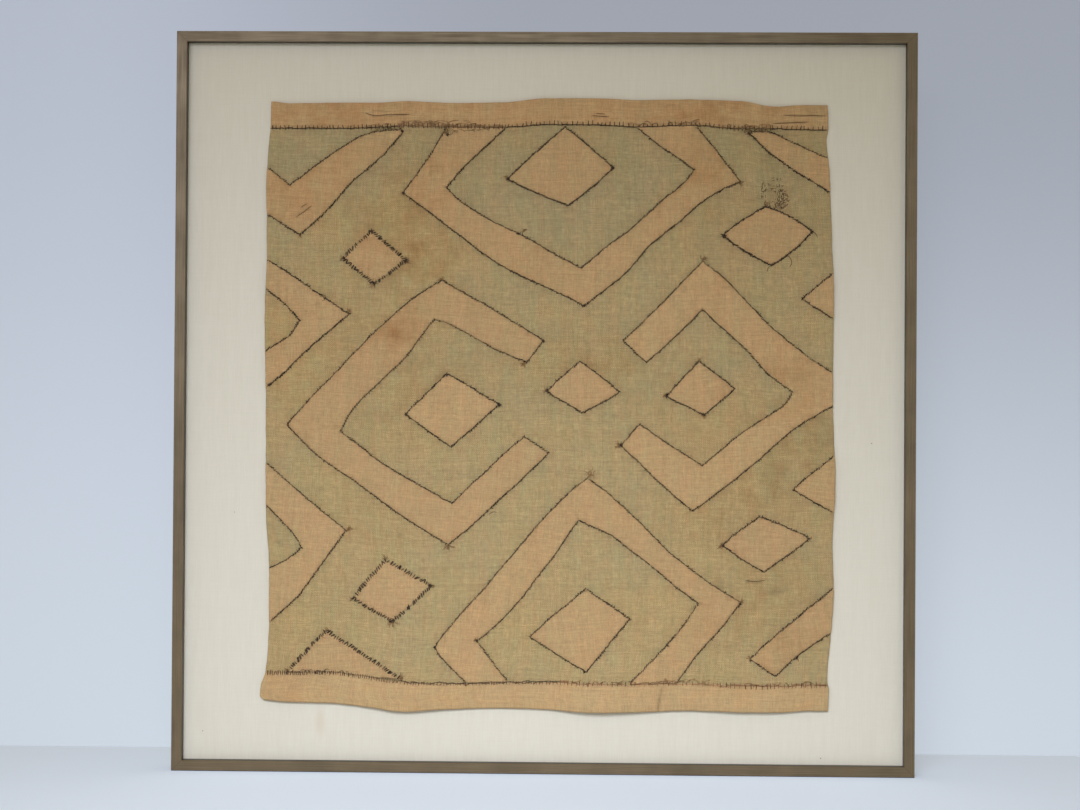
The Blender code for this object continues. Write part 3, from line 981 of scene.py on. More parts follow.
def objectFrom(name, vertices, faces, attributes, material):
    mesh = bpy.data.meshes.new(name)
    mesh.from_pydata([Vector(vertex) * mm for vertex in vertices], [], faces)
    for label, values in attributes.items():
        vector = label == "flat"
        layer = mesh.attributes.new(label, "FLOAT_VECTOR" if vector else "FLOAT", "POINT")
        if vector:
            layer.data.foreach_set("vector", [part for value in values for part in value])
        else:
            layer.data.foreach_set("value", values)
    mesh.materials.append(materials[material])
    mesh.shade_smooth()
    piece = bpy.data.objects.new(name, mesh)
    bpy.context.scene.collection.objects.link(piece)
    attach(piece, "root")
    return piece


# filler in the frame's corners, a little behind the front and short of the linen
mitre = {"start": 0.3, "width": 12.3, "thickness": 0.24, "setBack": 0.25, "offLinen": 0.3}


def makeMitres():
    front, back = cadBox[0].y / mm + mitre["setBack"], linenY - mitre["offLinen"]
    half = mitre["thickness"] / 2
    vertices, faces = [], []
    for sideX in (-1, 1):
        for edgeZ, up in ((0.0, 1), (frameSide, -1)):
            base = len(vertices)
            for inside in (mitre["start"], mitre["width"]):
                for shift in (-half, half):
                    for y in (front, back):
                        x = sideX * (frameSide / 2 - inside + shift)
                        vertices.append((x, y, edgeZ + up * (inside + shift)))
            for face in ((0, 1, 3, 2), (4, 6, 7, 5), (0, 4, 5, 1), (2, 3, 7, 6), (0, 2, 6, 4), (1, 5, 7, 3)):
                faces.append([base + corner for corner in face[::sideX * up]])
    piece = objectFrom("mitreFiller", vertices, faces, {"tone": [0.15] * len(vertices)}, "brownThread")
    piece.data.shade_flat()


makeMitres()


# places are (x, z); faces go counter-clockwise seen from the front
def closedSheet(name, places, faces, frontY, backY, attributes, material):
    count = len(places)
    vertices = [(x, y, z) for (x, z), y in zip(places, frontY)]
    vertices += [(x, y, z) for (x, z), y in zip(places, backY)]
    directed = {(a, b) for face in faces for a, b in zip(face, face[1:] + face[:1])}
    rim = [(b, a, a + count, b + count) for a, b in directed if (b, a) not in directed]
    back = [tuple(i + count for i in reversed(face)) for face in faces]
    doubled = {label: list(values) * 2 for label, values in attributes.items()}
    return objectFrom(name, vertices, faces + sorted(rim) + back, doubled, material)


# adds one point's place in the flat cloth, tone with painted shade, stain, soil and painted slit shade for
# the material
def addLook(looks, *values):
    for label, value in zip(("flat", "tone", "tint", "soil", "slitShade"), values):
        looks.setdefault(label, []).append(value)


# shares of a length, closer together near both ends
def spread(length, step):
    near = [0.0, 0.5, 1.3]
    inner = 2.4
    count = max(2, round((length - 2 * inner) / step))
    middle = [inner + (length - 2 * inner) * k / count for k in range(count + 1)]
    return [place / length for place in near + middle + [length - place for place in reversed(near)]]


clothWidth = rightSide[0][0] - leftSide[-1][0]
groundCloth = {
    "step": 3.7,           # spacing of the points in its mesh
    "seamDip": 0.35, "deepest": 0.75,
    "sewnShade": 0.10, "sideShade": 0.08, "sewnSoil": 0.16, "seamSoil": 0.2,
}


# a net between two lines and the cloth's sides: places, faces and flat coordinates
def wovenNet(low, high, acrossStep, upStep, height):
    acrossShares = spread(clothWidth, acrossStep)
    upShares = spread(height, upStep)
    places, flats = [], []
    for up in upShares:
        for across in acrossShares:
            x = blendTo(leftSide[-1][0], rightSide[0][0], across)
            z = blendTo(low(x), high(x), up)
            x = blendTo(leftX(z), rightX(z), across)
            places.append((x, z))
            flats.append((across * clothWidth, low(0) + up * height, 0.0))
    columns = len(acrossShares)
    faces = []
    for j in range(len(upShares) - 1):
        for i in range(columns - 1):
            corner = j * columns + i
            faces.append((corner, corner + 1, corner + columns + 1, corner + columns))
    return places, faces, flats


def makeGround():
    reach = cloth["bandReach"]
    height = topHem(0) - bottomHem(0) - 2 * reach
    places, faces, flats = wovenNet(lambda x: bottomHem(x) + reach, lambda x: topHem(x) - reach,
                                    groundCloth["step"], groundCloth["step"], height)
    front, back, looks = [], [], {}
    for (x, z), flat in zip(places, flats):
        y = layerY(x, z, 0)
        edge = min(x - leftX(z), rightX(z) - x)
        seam = min(abs(z - topSeam(x)), abs(z - bottomSeam(x)))
        depth, slitShade = creaseAt(x, z)
        dip = depth + puckerAt(x, z) + groundCloth["seamDip"] * exp(-(seam / 3) ** 2)
        dip = min(dip, groundCloth["deepest"])
        thick = cloth["ground"] * (0.5 + 0.5 * smoothStep(edge / 1.6))
        front.append(y - thick + dip * smoothStep(edge / 3))
        back.append(y)
        tint, soil = spotsAt(groundSpots, x, z)
        _, _, away = sewnTree.find((x, z, 0))
        # painted shade beside the sewing and along the selvedges
        tone = 1.0 - groundCloth["sewnShade"] * exp(-away / 3.0) - groundCloth["sideShade"] * exp(-edge / 1.5)
        soil += groundCloth["sewnSoil"] * exp(-away / 6.0) + groundCloth["seamSoil"] * exp(-seam / 5)
        addLook(looks, flat, tone, tint, soil, slitShade)
    ground = closedSheet("raffiaGround", places, faces, front, back, looks, "oliveRaffia")
    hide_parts("ground_cloth")


band = {
    "step": 2.2, "rows": 1.0, "hemRise": 0.35, "flatDepth": 31.0,
    "gather": 0.22, "gatherSpacing": 5.6, "wave": 0.25,
    "seamShade": 0.10, "hemShade": 0.05, "brown": 0.05, "dull": 0.45, "soil": 0.04, "seamSoil": 0.22,
}


def makeBand(name, node, low, high, seam, hem, seed):
    height = high(0) - low(0)
    places, faces, flats = wovenNet(low, high, band["step"], band["rows"], height)
    front, back, looks = [], [], {}
    for (x, z), flat in zip(places, flats):
        y = layerY(x, z, cloth["layer"])
        side = min(x - leftX(z), rightX(z) - x)
        toSeam, toHem = abs(z - seam(x)), abs(z - hem(x))
        depth, slitShade = creaseAt(x, z)
        gather = 1 + sin(x * 2 * pi / band["gatherSpacing"] + 2 * sin(x / 23))
        gather *= band["gather"] * exp(-toSeam / 3.5)
        wave = band["wave"] * noise.noise(Vector((x / 11, z / 30, seed)))
        rounded = smoothStep(0.35 + 0.65 * min(side, toHem, 0.4 * toSeam) / 1.8)
        thick = (cloth["band"] + band["hemRise"] * exp(-((toHem - 1.8) / 1.6) ** 2)) * rounded
        front.append(y - thick + min(depth + gather + wave, 0.9 * thick))
        back.append(y)
        tint, soil = spotsAt(bandSpots, x, z)
        dull = band["dull"] * max(0.0, noise.noise(Vector((x / 30, z / 12, 61.5 + seed))))
        # painted shade beside the seam and along the hem
        tone = 1.0 - band["seamShade"] * exp(-toSeam / 1.5) - band["hemShade"] * exp(-toHem / 1.2)
        soil += band["soil"] + band["seamSoil"] * exp(-toSeam / 3)
        addLook(looks, (flat[0], flat[1], seed), tone, band["brown"] + dull + tint, soil, slitShade)
    piece = closedSheet(name, places, faces, front, back, looks, "tanRaffia")
    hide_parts(node)


# x where a level line crosses the outline
def crossings(path, z):
    found = []
    for here, there in zip(path, path[1:] + path[:1]):
        if (here.y <= z) != (there.y <= z):
            found.append(here.x + (there.x - here.x) * (z - here.y) / (there.y - here.y))
    return sorted(found)


# points for a patch's mesh: the outline, two rings just inside it, and an even scatter
def patchPoints(path, lookup, random):
    inner = []
    for here, direction, _ in walk(path, patch["step"]):
        for inset in (1.0, 2.3):
            point = here + Vector((-direction.y, direction.x)) * inset
            if lookup.find((point.x, point.y, 0))[2] > 0.8 * inset:
                inner.append(point)
    step = patch["step"]
    z = min(point.y for point in path) + step / 2
    top = max(point.y for point in path)
    while z < top:
        found = crossings(path, z)
        for start, end in zip(found[::2], found[1::2]):
            x = start + step * random.uniform(0.7, 1.2)
            while x < end - 0.7 * step:
                point = Vector((x, z + random.uniform(-0.5, 0.5)))
                if lookup.find((point.x, point.y, 0))[2] > 3.6:
                    inner.append(point)
                x += step * random.uniform(0.85, 1.15)
        z += step
    return inner


def makePatch(name, order):
    random = Random(order + 11)
    path = outlines[name]
    dense = walk(path, 0.6)
    lookup = lookupOf([point for point, _, _ in dense])
    inner = patchPoints(path, lookup, random)
    ring = list(range(len(path)))
    edges = [(i, (i + 1) % len(path)) for i in ring]
    found, _, triangles, _, _, _ = delaunay_2d_cdt(path + inner, edges, [ring], 1, 0.0001)
    used = sorted({i for triangle in triangles for i in triangle})
    renumber = {old: new for new, old in enumerate(used)}
    places = [tuple(found[i]) for i in used]
    faces = []
    for triangle in triangles:
        corners = [renumber[i] for i in triangle]
        a, b, c = (Vector(places[i]) for i in corners)
        turn = (b - a).cross(c - a)
        faces.append(tuple(corners if turn > 0 else reversed(corners)))
    tilt = radians(random.uniform(-5, 5))
    front, back, looks = [], [], {}
    own = patch["tones"].get(name, 1.0)
    shift = random.uniform(0, 400)
    for x, z in places:
        y = layerY(x, z, cloth["layer"])
        _, nearest, away = lookup.find((x, z, 0))
        sewn = not nearSide(dense[nearest][0], 2.0, 1.5)
        rise = blendTo(patch["edgeRise"], patch["fullRise"], smoothStep(away / patch["turnedEdge"]))
        if not sewn:
            rise = blendTo(0.75, patch["fullRise"], smoothStep(away / 1.5))
        depth, slitShade = creaseAt(x, z)
        slack = patch["slack"] * (0.5 + noise.noise(Vector((x / 17, z / 17, 71.5)))) * smoothStep(away / 8)
        arc = dense[nearest][2]
        gather = sin(arc * 2 * pi / patch["gatherSpacing"] + 2 * sin(arc / 11))
        pull = patch["gather"] * (1 + gather) * exp(-away / 3.5) if sewn else 0.0
        front.append(y - max(rise + slack - depth - pull, 0.25))
        back.append(y)
        flatX = x * cos(tilt) - z * sin(tilt) + shift
        flatZ = x * sin(tilt) + z * cos(tilt) + 2 * shift
        tint, soil = spotsAt(patchSpots, x, z)
        tone = own
        if sewn:
            # painted shade beside the sewing
            tone *= 1.0 - patch["sewnShade"] * exp(-away / 1.2)
            soil += patch["sewnSoil"] * exp(-away / 3.0)
        addLook(looks, (flatX, flatZ, float(order)), tone, patch["brown"] + tint, soil, slitShade)
    piece = closedSheet(name + "_cloth", places, faces, front, back, looks, "peachRaffia")
    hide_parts(name)


makeGround()
print("ground cloth woven")
makeBand("topBand", "top_band", topSeam, topHem, topSeam, topHem, 2.0)
makeBand("bottomBand", "bottom_band", bottomHem, bottomSeam, bottomSeam, bottomHem, 5.0)
print("bands laid over both ends")
for order, name in enumerate(patchNames):
    makePatch(name, order)
print(len(patchNames), "patches cut and laid")

# Sewing: every stitch is a short round thread that dips into the cloth at both ends.


# radii of the fine threads, some as a range
fineThread = {
    "fuzz": (0.13, 0.22), "frayed": (0.16, 0.28), "knot": 0.34, "knotEnd": 0.22, "darn": 0.24,
    "splitShade": 0.30, "loose": 0.27, "lint": 0.38,
}


def newBundle():
    return {"vertices": [], "faces": [], "tones": []}


def addTube(bundle, path, radius, tone, sides=6):
    start = len(bundle["vertices"])
    last = len(path) - 1
    for i, point in enumerate(path):
        ahead = (path[min(i + 1, last)] - path[max(i - 1, 0)]).normalized()
        across = ahead.cross(Vector((0, 1, 0)))
        across = across.normalized() if across.length > 0.05 else Vector((1, 0, 0))
        up = across.cross(ahead).normalized()
        girth = radius * (0.6 if i in (0, last) else 1.0)
        for k in range(sides):
            angle = 2 * pi * k / sides
            bundle["vertices"].append(point + (across * cos(angle) + up * sin(angle)) * girth)
            bundle["tones"].append(tone)
    for i in range(last):
        for k in range(sides):
            a = start + i * sides + k
            b = start + i * sides + (k + 1) % sides
            bundle["faces"].append((a, a + sides, b + sides, b))
    bundle["faces"].append(tuple(range(start, start + sides)))
    end = start + last * sides
    bundle["faces"].append(tuple(range(end + sides - 1, end - 1, -1)))


def finishBundle(bundle, name, material):
    if bundle["faces"]:
        piece = objectFrom(name, bundle["vertices"], bundle["faces"], {"tone": bundle["tones"]}, material)


# the same path without hard corners
def softened(path):
    rounded = [path[0]]
    for here, there in zip(path, path[1:]):
        rounded += [here.lerp(there, 0.3), here.lerp(there, 0.7)]
    return rounded + [path[-1]]


# y of the cloth that shows, by how far inside a patch or band the place is
def surfaceY(x, z, inside):
    if inside < 0:
        return layerY(x, z, 0) - cloth["ground"]
    rise = blendTo(patch["edgeRise"], patch["fullRise"], smoothStep(inside / patch["turnedEdge"]))
    return layerY(x, z, cloth["layer"]) - rise


def hemSpan(x, z):
    return max(min(z - topSeam(x), topHem(x) - z), min(bottomSeam(x) - z, z - bottomHem(x)))


extents = {name: (min(p.x for p in path), max(p.x for p in path), min(p.y for p in path),
                  max(p.y for p in path)) for name, path in outlines.items()}


# how far inside the nearest patch or band, or below 0 where the ground shows
def insideAt(x, z):
    if hemSpan(x, z) > 0:
        return hemSpan(x, z)
    for name, (low, high, bottom, top) in extents.items():
        if low < x < high and bottom < z < top:
            crossed = crossings(outlines[name], z)
            if sum(1 for place in crossed if place < x) % 2:
                return sewnTree.find((x, z, 0))[2]
    return -1.0


def looseY(x, z):
    return surfaceY(x, z, insideAt(x, z))


# one stitch between two places, each with its depth inside the upper cloth
def addStitch(bundle, start, end, radius, tone, startInside=None, endInside=None, sides=6):
    path = []
    for t in (0.0, 0.18, 0.5, 0.82, 1.0):
        place = start.lerp(end, t)
        inside = blendTo(startInside, endInside, t) if endInside is not None else insideAt(*place)
        arch = sin(pi * t)
        y = surfaceY(place.x, place.y, inside) - radius * 0.75 * arch + 0.35 * (1 - arch)
        path.append(Vector((place.x, y, place.y)))
    addTube(bundle, path, radius, tone, sides)


outlineStitch = {
    "pitch": 3.3, "length": 4.4, "radius": 0.50, "outside": 0.85, "inside": 0.55,
    "crossing": 0.50,      # share of places where a short thread also crosses the edge
    "fuzz": 0.32,          # and where a fine fibre stands out
    # radii of patches that are sewn with heavier or finer thread
    "heavier": {"upper_right_diamond": 0.66, "left_upper_point": 0.58, "top_diamond": 0.55,
                "left_ring_diamond": 0.54},
    "finer": {"bottom_vee": 0.44, "left_lower_point": 0.44, "left_ring": 0.46, "right_ring": 0.44},
    # lines (x, z, x, z) beside which the stitches are thin
    "thin": ((-236, 396, -170, 478), (-170, 478, -132, 526), (-132, 526, -34, 480)),
}
# some patches are sewn over their edges with thick thread
overcast = {
    "pitch": 2.9, "outside": 2.7, "inside": 2.6, "slant": 0.30, "radius": 0.58,
    "patches": ("upper_left_diamond", "lower_left_diamond", "bottom_left_point"),
}


fuzz = newBundle()


# one fine fibre that curls out of a stitch
def addFuzz(bundle, here, random):
    angle = random.uniform(0, 2 * pi)
    bend = random.uniform(-1.2, 1.2)
    long = random.uniform(1.6, 4.0)
    path = []
    place = here.copy()
    for k in range(4):
        y = looseY(*place) - 0.2 - 0.45 * sin(pi * (k + 0.5) / 4)
        path.append(Vector((place.x, y, place.y)))
        angle += bend / 3
        place = place + Vector((cos(angle), sin(angle))) * long / 3
    addTube(bundle, path, random.uniform(*fineThread["fuzz"]), random.random(), 4)


# whether a place lies beside one of the thin runs
def isThin(here):
    for line in outlineStitch["thin"]:
        share, across = toSegment(here.x, here.y, *line)
        if across < 7.0 and 0.0 < share < 1.0:
            return True
    return False


def sewOutline(name, order):
    random = Random(order + 101)
    bundle = newBundle()
    radius = outlineStitch["heavier"].get(name, outlineStitch["finer"].get(name, outlineStitch["radius"]))
    for here, direction, _ in walk(outlines[name], outlineStitch["pitch"]):
        if nearSide(here, 1.5, 1.6):
            continue
        inward = Vector((-direction.y, direction.x))
        half = outlineStitch["length"] * random.uniform(0.36, 0.54)
        here = here + inward * random.uniform(-0.40, 0.35) + direction * random.uniform(-0.3, 0.3)
        outside = outlineStitch["outside"] * random.uniform(0.2, 1.5)
        inside = outlineStitch["inside"] * random.uniform(0.2, 1.7)
        start = here - direction * half - inward * outside
        end = here + direction * half + inward * inside
        thick = radius * random.uniform(0.60, 1.30)
        if isThin(here):
            thick *= 0.66
        addStitch(bundle, start, end, thick, random.random(), -outside, inside)
        if random.random() < outlineStitch["crossing"]:
            lean = direction * random.uniform(-0.7, 0.7)
            out, into = random.uniform(1.0, 2.6), random.uniform(0.5, 1.6)
            addStitch(bundle, here - inward * out - lean, here + inward * into + lean, radius * 0.9,
                      random.random() * 0.6, -out, into, 5)
        if random.random() < outlineStitch["fuzz"]:
            addFuzz(fuzz, here, random)
    finishBundle(bundle, name + "_sewing", "darkThread")


def overcastOutline(name, order):
    random = Random(order + 201)
    bundle = newBundle()
    for here, direction, _ in walk(outlines[name], overcast["pitch"]):
        if nearSide(here, 1.5, 3.5) or random.random() < 0.06:
            continue
        inward = Vector((-direction.y, direction.x))
        here = here + direction * random.uniform(-0.7, 0.7)
        slant = overcast["slant"] + random.uniform(-0.5, 0.5)
        outside = overcast["outside"] * random.uniform(0.55, 1.2)
        inside = overcast["inside"] * random.uniform(0.55, 1.15)
        start = here - (inward + direction * slant) * outside
        end = here + (inward + direction * slant) * inside
        radius = overcast["radius"] * random.uniform(0.7, 1.3)
        addStitch(bundle, start, end, radius, random.random(), -outside, inside)
        if random.random() < outlineStitch["fuzz"]:
            addFuzz(fuzz, end, random)
        if random.random() < 0.22:
            lean = direction * random.uniform(0.7, 1.3)
            addStitch(bundle, start + lean, end + lean, radius * 0.8, random.random() * 0.7, -outside, inside)
    finishBundle(bundle, name + "_sewing", "thickThread")


for order, name in enumerate(patchNames):
    if name in overcast["patches"]:
        overcastOutline(name, order)
    else:
        sewOutline(name, order)
finishBundle(fuzz, "stitchFuzz", "rustThread")
print("patches sewn down")

# stretches of the two seams: a line of stitches, and ticks across it
seamRuns = (
    # seam, fromX, toX, line radius, tick pitch, above, below, tick radius, line thread, tick thread
    ("top", -320, -215, 0.46, 4.8, 3.8, 1.6, 0.42, "darkThread", "brownThread"),
    ("top", -215, -172, 0.42, 4.4, 4.4, 2.6, 0.42, "thickThread", "brownThread"),
    ("top", -172, -78, 0.28, 4.2, 4.8, 2.2, 0.36, "loopThread", "brownThread"),
    ("top", -78, -45, 0.36, 4.6, 4.2, 2.6, 0.40, "brownThread", "brownThread"),
    ("top", -45, 200, 0.46, 5.2, 5.0, 0.9, 0.44, "darkThread", "brownThread"),
    ("top", 200, 262, 0.36, 4.4, 4.0, 2.4, 0.40, "brownThread", "brownThread"),
    ("top", 262, 326, 0.44, 5.4, 4.4, 0.9, 0.40, "darkThread", "brownThread"),
    ("bottom", -321, -165, 0.0, 2.3, 2.6, 3.2, 0.40, "greyThread", "brownThread"),
    ("bottom", -165, 20, 0.34, 3.6, 1.2, 3.2, 0.32, "greyThread", "brownThread"),
    ("bottom", 20, 112, 0.28, 5.4, 3.4, 3.0, 0.32, "redThread", "brownThread"),
    ("bottom", 112, 205, 0.26, 5.6, 3.6, 2.8, 0.30, "redThread", "redThread"),
    ("bottom", 205, 329, 0.30, 5.2, 3.6, 3.6, 0.34, "redThread", "brownThread"),
)


seamWander = {"top": 0.6, "bottom": 2.4}            # how far the line of stitches strays
seamStitch = {"half": 2.2, "apart": (3.1, 4.1)}     # half a stitch's length, and the spacing


def sewSeam(seam, line):
    bundles = {thread: newBundle() for thread in threads}
    random = Random(len(seam) + 7)
    half = seamStitch["half"]
    for run in seamRuns:
        which, fromX, toX, lineRadius, pitch, above, below, tickRadius, lineThread, tickThread = run
        if which != seam:
            continue
        x = fromX + 1.0
        while lineRadius and x < toX:
            wander = random.uniform(-0.4, 0.4) + seamWander[seam] * noise.noise(Vector((x / 11, 2.7, 0.4)))
            start = Vector((x - half, line(x - half) + wander - 0.2))
            end = Vector((x + half, line(x + half) + wander + 0.3))
            addStitch(bundles[lineThread], start, end, lineRadius * random.uniform(0.8, 1.15),
                      random.random(), 0.5, 0.8)
            x += random.uniform(*seamStitch["apart"])
        x = fromX + 1.5
        while x < toX - 1.0:
            lean = random.uniform(-0.7, 0.9)
            low = Vector((x - lean, line(x) - below * random.uniform(0.6, 1.2)))
            high = Vector((x + lean, line(x) + above * random.uniform(0.6, 1.2)))
            addStitch(bundles[tickThread], low, high, tickRadius * random.uniform(0.8, 1.2), random.random())
            x += pitch * random.uniform(0.7, 1.3)
    for thread in sorted({run[-2] for run in seamRuns} | {run[-1] for run in seamRuns}):
        finishBundle(bundles[thread], seam + "Seam_" + thread, thread)


sewSeam("top", topSeam)
sewSeam("bottom", bottomSeam)
print("bands sewn on")

# loose loops of thread lie along some stretches of the seams, one strand over another
tangles = (
    # seam, fromX, toX, above the seam, half width, half height, loop length, thread
    (topSeam, -176, -78, 1.2, 3.4, 1.9, 7.5, "loopThread"),
    (topSeam, -172, -82, 3.4, 3.0, 1.8, 7.0, "loopThread"),
    (topSeam, -156, -92, 5.2, 3.2, 1.3, 8.5, "loopThread"),
    (topSeam, -170, -50, -0.2, 3.2, 1.4, 8.5, "loopThread"),
    (topSeam, -84, -46, 0.6, 3.6, 2.4, 7.0, "loopThread"),
    (topSeam, -204, -170, -4.0, 3.4, 1.9, 6.0, "oliveThread"),
    (topSeam, -212, -170, 1.8, 3.0, 1.8, 8.0, "loopThread"),
    (topSeam, -120, -107, -5.2, 2.6, 3.8, 3.2, "oliveThread"),
    (topSeam, -108, -60, -3.2, 3.0, 1.4, 9.0, "oliveThread"),
    (topSeam, 96, 128, 1.8, 2.8, 2.2, 7.5, "loopThread"),
    (topSeam, 142, 182, 2.0, 3.0, 2.4, 7.5, "loopThread"),
    (topSeam, 204, 262, 1.0, 3.4, 2.6, 7.0, "loopThread"),
    (topSeam, 214, 262, -2.4, 3.2, 2.4, 6.5, "oliveThread"),
    (topSeam, 226, 262, 3.6, 3.0, 2.0, 8.5, "loopThread"),
    (bottomSeam, -300, -215, 0.8, 1.8, 1.8, 5.5, "greyThread"),
    (bottomSeam, -160, 20, -0.8, 1.6, 1.0, 11.0, "brownThread"),
    (bottomSeam, 20, 112, 0.9, 3.0, 2.2, 13.0, "redThread"),
    (bottomSeam, 84, 200, 1.2, 3.4, 2.6, 11.0, "loopThread"),
    (bottomSeam, 132, 180, 2.6, 3.0, 1.8, 9.0, "loopThread"),
    (bottomSeam, 200, 328, 0.8, 2.8, 2.2, 13.0, "redThread"),
)


loopShape = {"points": 9, "run": (3, 8), "radius": (0.26, 0.40)}      # points in a full turn and in a strand


def makeTangles():
    random = Random(77)
    for order, (line, fromX, toX, above, halfWide, halfHigh, length, thread) in enumerate(tangles):
        bundle = newBundle()
        steps = round((toX - fromX) / length * loopShape["points"])
        path = []
        angle = 0.0
        for k in range(steps):
            t = k / (steps - 1)
            angle += 2 * pi / loopShape["points"] * random.uniform(0.3, 1.7)
            grow = 0.80 + 1.1 * noise.noise(Vector((k / 5, order, 0.5)))
            wander = noise.noise(Vector((k / 12, order, 8.5)))
            x = blendTo(fromX, toX, t) + halfWide * (grow * sin(angle) + 0.7 * sin(0.43 * angle + order))
            z = line(x) + above + halfHigh * (grow * cos(angle) + 1.4 * wander)
            y = looseY(x, z) - 0.25 - 0.25 * (1 + sin(angle / 2)) - 0.12 * (order % 3)
            path.append(Vector((x, y, z)))
        first = 0
        while first < steps - 4:
            run = random.randint(*loopShape["run"])
            radius = random.uniform(*loopShape["radius"])
            addTube(bundle, path[first:first + run], radius, random.random(), 5)
            first += run - random.randint(-1, 1)
        finishBundle(bundle, "seamLoops%d" % order, thread)


makeTangles()

knots = (
    # x,   z, size
    (78, 703, 1.6), (-43, 690, 1.5), (-165, 673, 1.2), (-31, 626, 1.4), (208, 624, 2.2),
    (-1, 501, 1.2), (4, 444, 1.7), (-52, 427, 2.2), (-160, 415, 1.3), (-113, 461, 1.2), (90, 381, 1.7),
    (209, 266, 1.3), (-76, 153, 1.3), (295, 137, 1.3), (145, 149, 1.1), (229, 198, 1.2),
    (143, 440, 1.4), (186, 417, 1.2), (-125, 145, 1.1),
    (46, 543, 0.9), (310, 630, 1.0), (-114, 741, 1.5), (-167, 745, 1.3), (-199, 568, 1.4), (-202, 628, 1.4),
    (-130, 216, 1.4), (-174, 174, 1.6), (-162, 594, 1.7), (236, 744, 1.4), (49, 118, 1.0),
)


# path of a short curled thread; riseAt says how high each of its five points lies over the cloth
def curledPath(x, z, angle, bend, long, riseAt):
    path = []
    for k in range(5):
        turned = angle + bend * k / 4
        placeX = x + long * k / 4 * cos(turned)
        placeZ = z + long * k / 4 * sin(turned)
        path.append(Vector((placeX, looseY(placeX, placeZ) - riseAt(k), placeZ)))
    return path


# a knot: crossed turns of thread on top of each other, and short frayed ends
def makeKnots():
    bundle = newBundle()
    random = Random(5)
    for x, z, size in knots:
        top = min(looseY(x + side, z + up) for side in (-1, 1) for up in (-1, 1))
        for turn in range(4):
            tilt = random.uniform(0, pi)
            long, short = size * random.uniform(0.7, 1.15), size * random.uniform(0.25, 0.6)
            path = []
            for k in range(9):
                angle = 2 * pi * k / 8
                along, side = long * cos(angle), short * sin(angle)
                path.append(Vector((x + along * cos(tilt) - side * sin(tilt),
                                    top - 0.2 - 0.22 * turn - 0.25 * sin(angle),
                                    z + along * sin(tilt) + side * cos(tilt))))
            addTube(bundle, path, fineThread["knot"], random.random(), 5)
        for _ in range(5):
            angle = random.uniform(0, 2 * pi)
            bend = random.uniform(-0.8, 0.8)
            long = size * random.uniform(1.2, 2.6)
            path = curledPath(x, z, angle, bend, long, lambda k: 0.25 + 0.5 * sin(pi * k / 4))
            addTube(bundle, path, fineThread["knotEnd"], random.random(), 4)
    finishBundle(bundle, "threadKnots", "darkThread")


makeKnots()

tufts = (
    # x,    z, fibres, length, leaning towards degrees
    (-119, 571, 11, 6, 90), (-229, 533, 13, 6, 50), (-228, 280, 13, 7, 0), (-110, 264, 12, 8, 270),
    (229, 200, 10, 6, 10), (186, 417, 9, 6, 270), (-23, 476, 13, 7, 260), (257, 660, 9, 5, 120),
    (-199, 568, 11, 8, 260), (-174, 175, 13, 8, 280), (-183, 246, 9, 6, 100), (209, 265, 12, 7, 180),
    (89, 382, 14, 7, 200), (4, 444, 12, 6, 170), (-43, 691, 8, 5, 170), (226, 687, 9, 6, 320),
    (-76, 153, 8, 5, 110), (-251, 163, 10, 5, 100), (-235, 597, 10, 5, 190), (-162, 594, 12, 6, 0),
    (-115, 742, 12, 7, 100), (238, 743, 14, 7, 150), (143, 440, 12, 6, 180), (180, 479, 8, 4, 110),
    (183, 596, 9, 6, 90), (-165, 673, 8, 5, 250), (-295, 117, 9, 5, 200), (-165, 109, 12, 6, 10),
    (53, 344, 12, 8, 60), (308, 274, 7, 4, 0), (-220, 201, 9, 5, 180), (-130, 216, 9, 5, 10),
    (241, 135, 8, 5, 180), (100, 179, 7, 4, 20), (-285, 624, 7, 4, 260), (144, 106, 12, 6, 100),
    (-26, 628, 8, 5, 30), (295, 137, 8, 4, 280),
)


# frayed fibres where a patch's corner was turned under
def makeTufts():
    bundle = newBundle()
    random = Random(23)
    for x, z, fibres, length, lean in tufts:
        for _ in range(fibres):
            angle = radians(lean + random.uniform(-60, 60))
            bend = random.uniform(-0.9, 0.9)
            long = length * random.uniform(0.5, 1.1)
            startX = x + random.uniform(-1.1, 1.1)
            startZ = z + random.uniform(-1.1, 1.1)
            path = curledPath(startX, startZ, angle, bend, long,
                              lambda k: 0.15 + random.uniform(0.1, 0.7) * sin(pi * k / 5))
            addTube(bundle, path, random.uniform(*fineThread["frayed"]), random.random(), 4)
    finishBundle(bundle, "frayedFibres", "rustThread")


makeTufts()

darns = (
    # x,  z, reachX, reachZ, stitches
    (275, 668, 8, 11, 105), (268, 660, 9, 7, 40), (253, 677, 4, 9, 26), (268, 684, 11, 9, 24),
)


# the mended place: short dark darning threads, level and upright
def makeDarn():
    bundle = newBundle()
    random = Random(41)
    for x, z, reachX, reachZ, count in darns:
        for _ in range(count):
            away, angle = random.random() ** 0.6, random.uniform(0, 2 * pi)
            here = Vector((x + reachX * away * cos(angle), z + reachZ * away * sin(angle)))
            if insideAt(*here) > 0:
                continue
            tilt = radians(random.choice((0, 90, 90, 35)) + random.uniform(-18, 18))
            side = Vector((cos(tilt), sin(tilt))) * random.uniform(0.9, 2.4)
            addStitch(bundle, here - side, here + side, fineThread["darn"] * random.uniform(0.7, 1.3),
                      random.random(), -1, -1, 5)
    finishBundle(bundle, "groundDarn", "brownThread")


makeDarn()
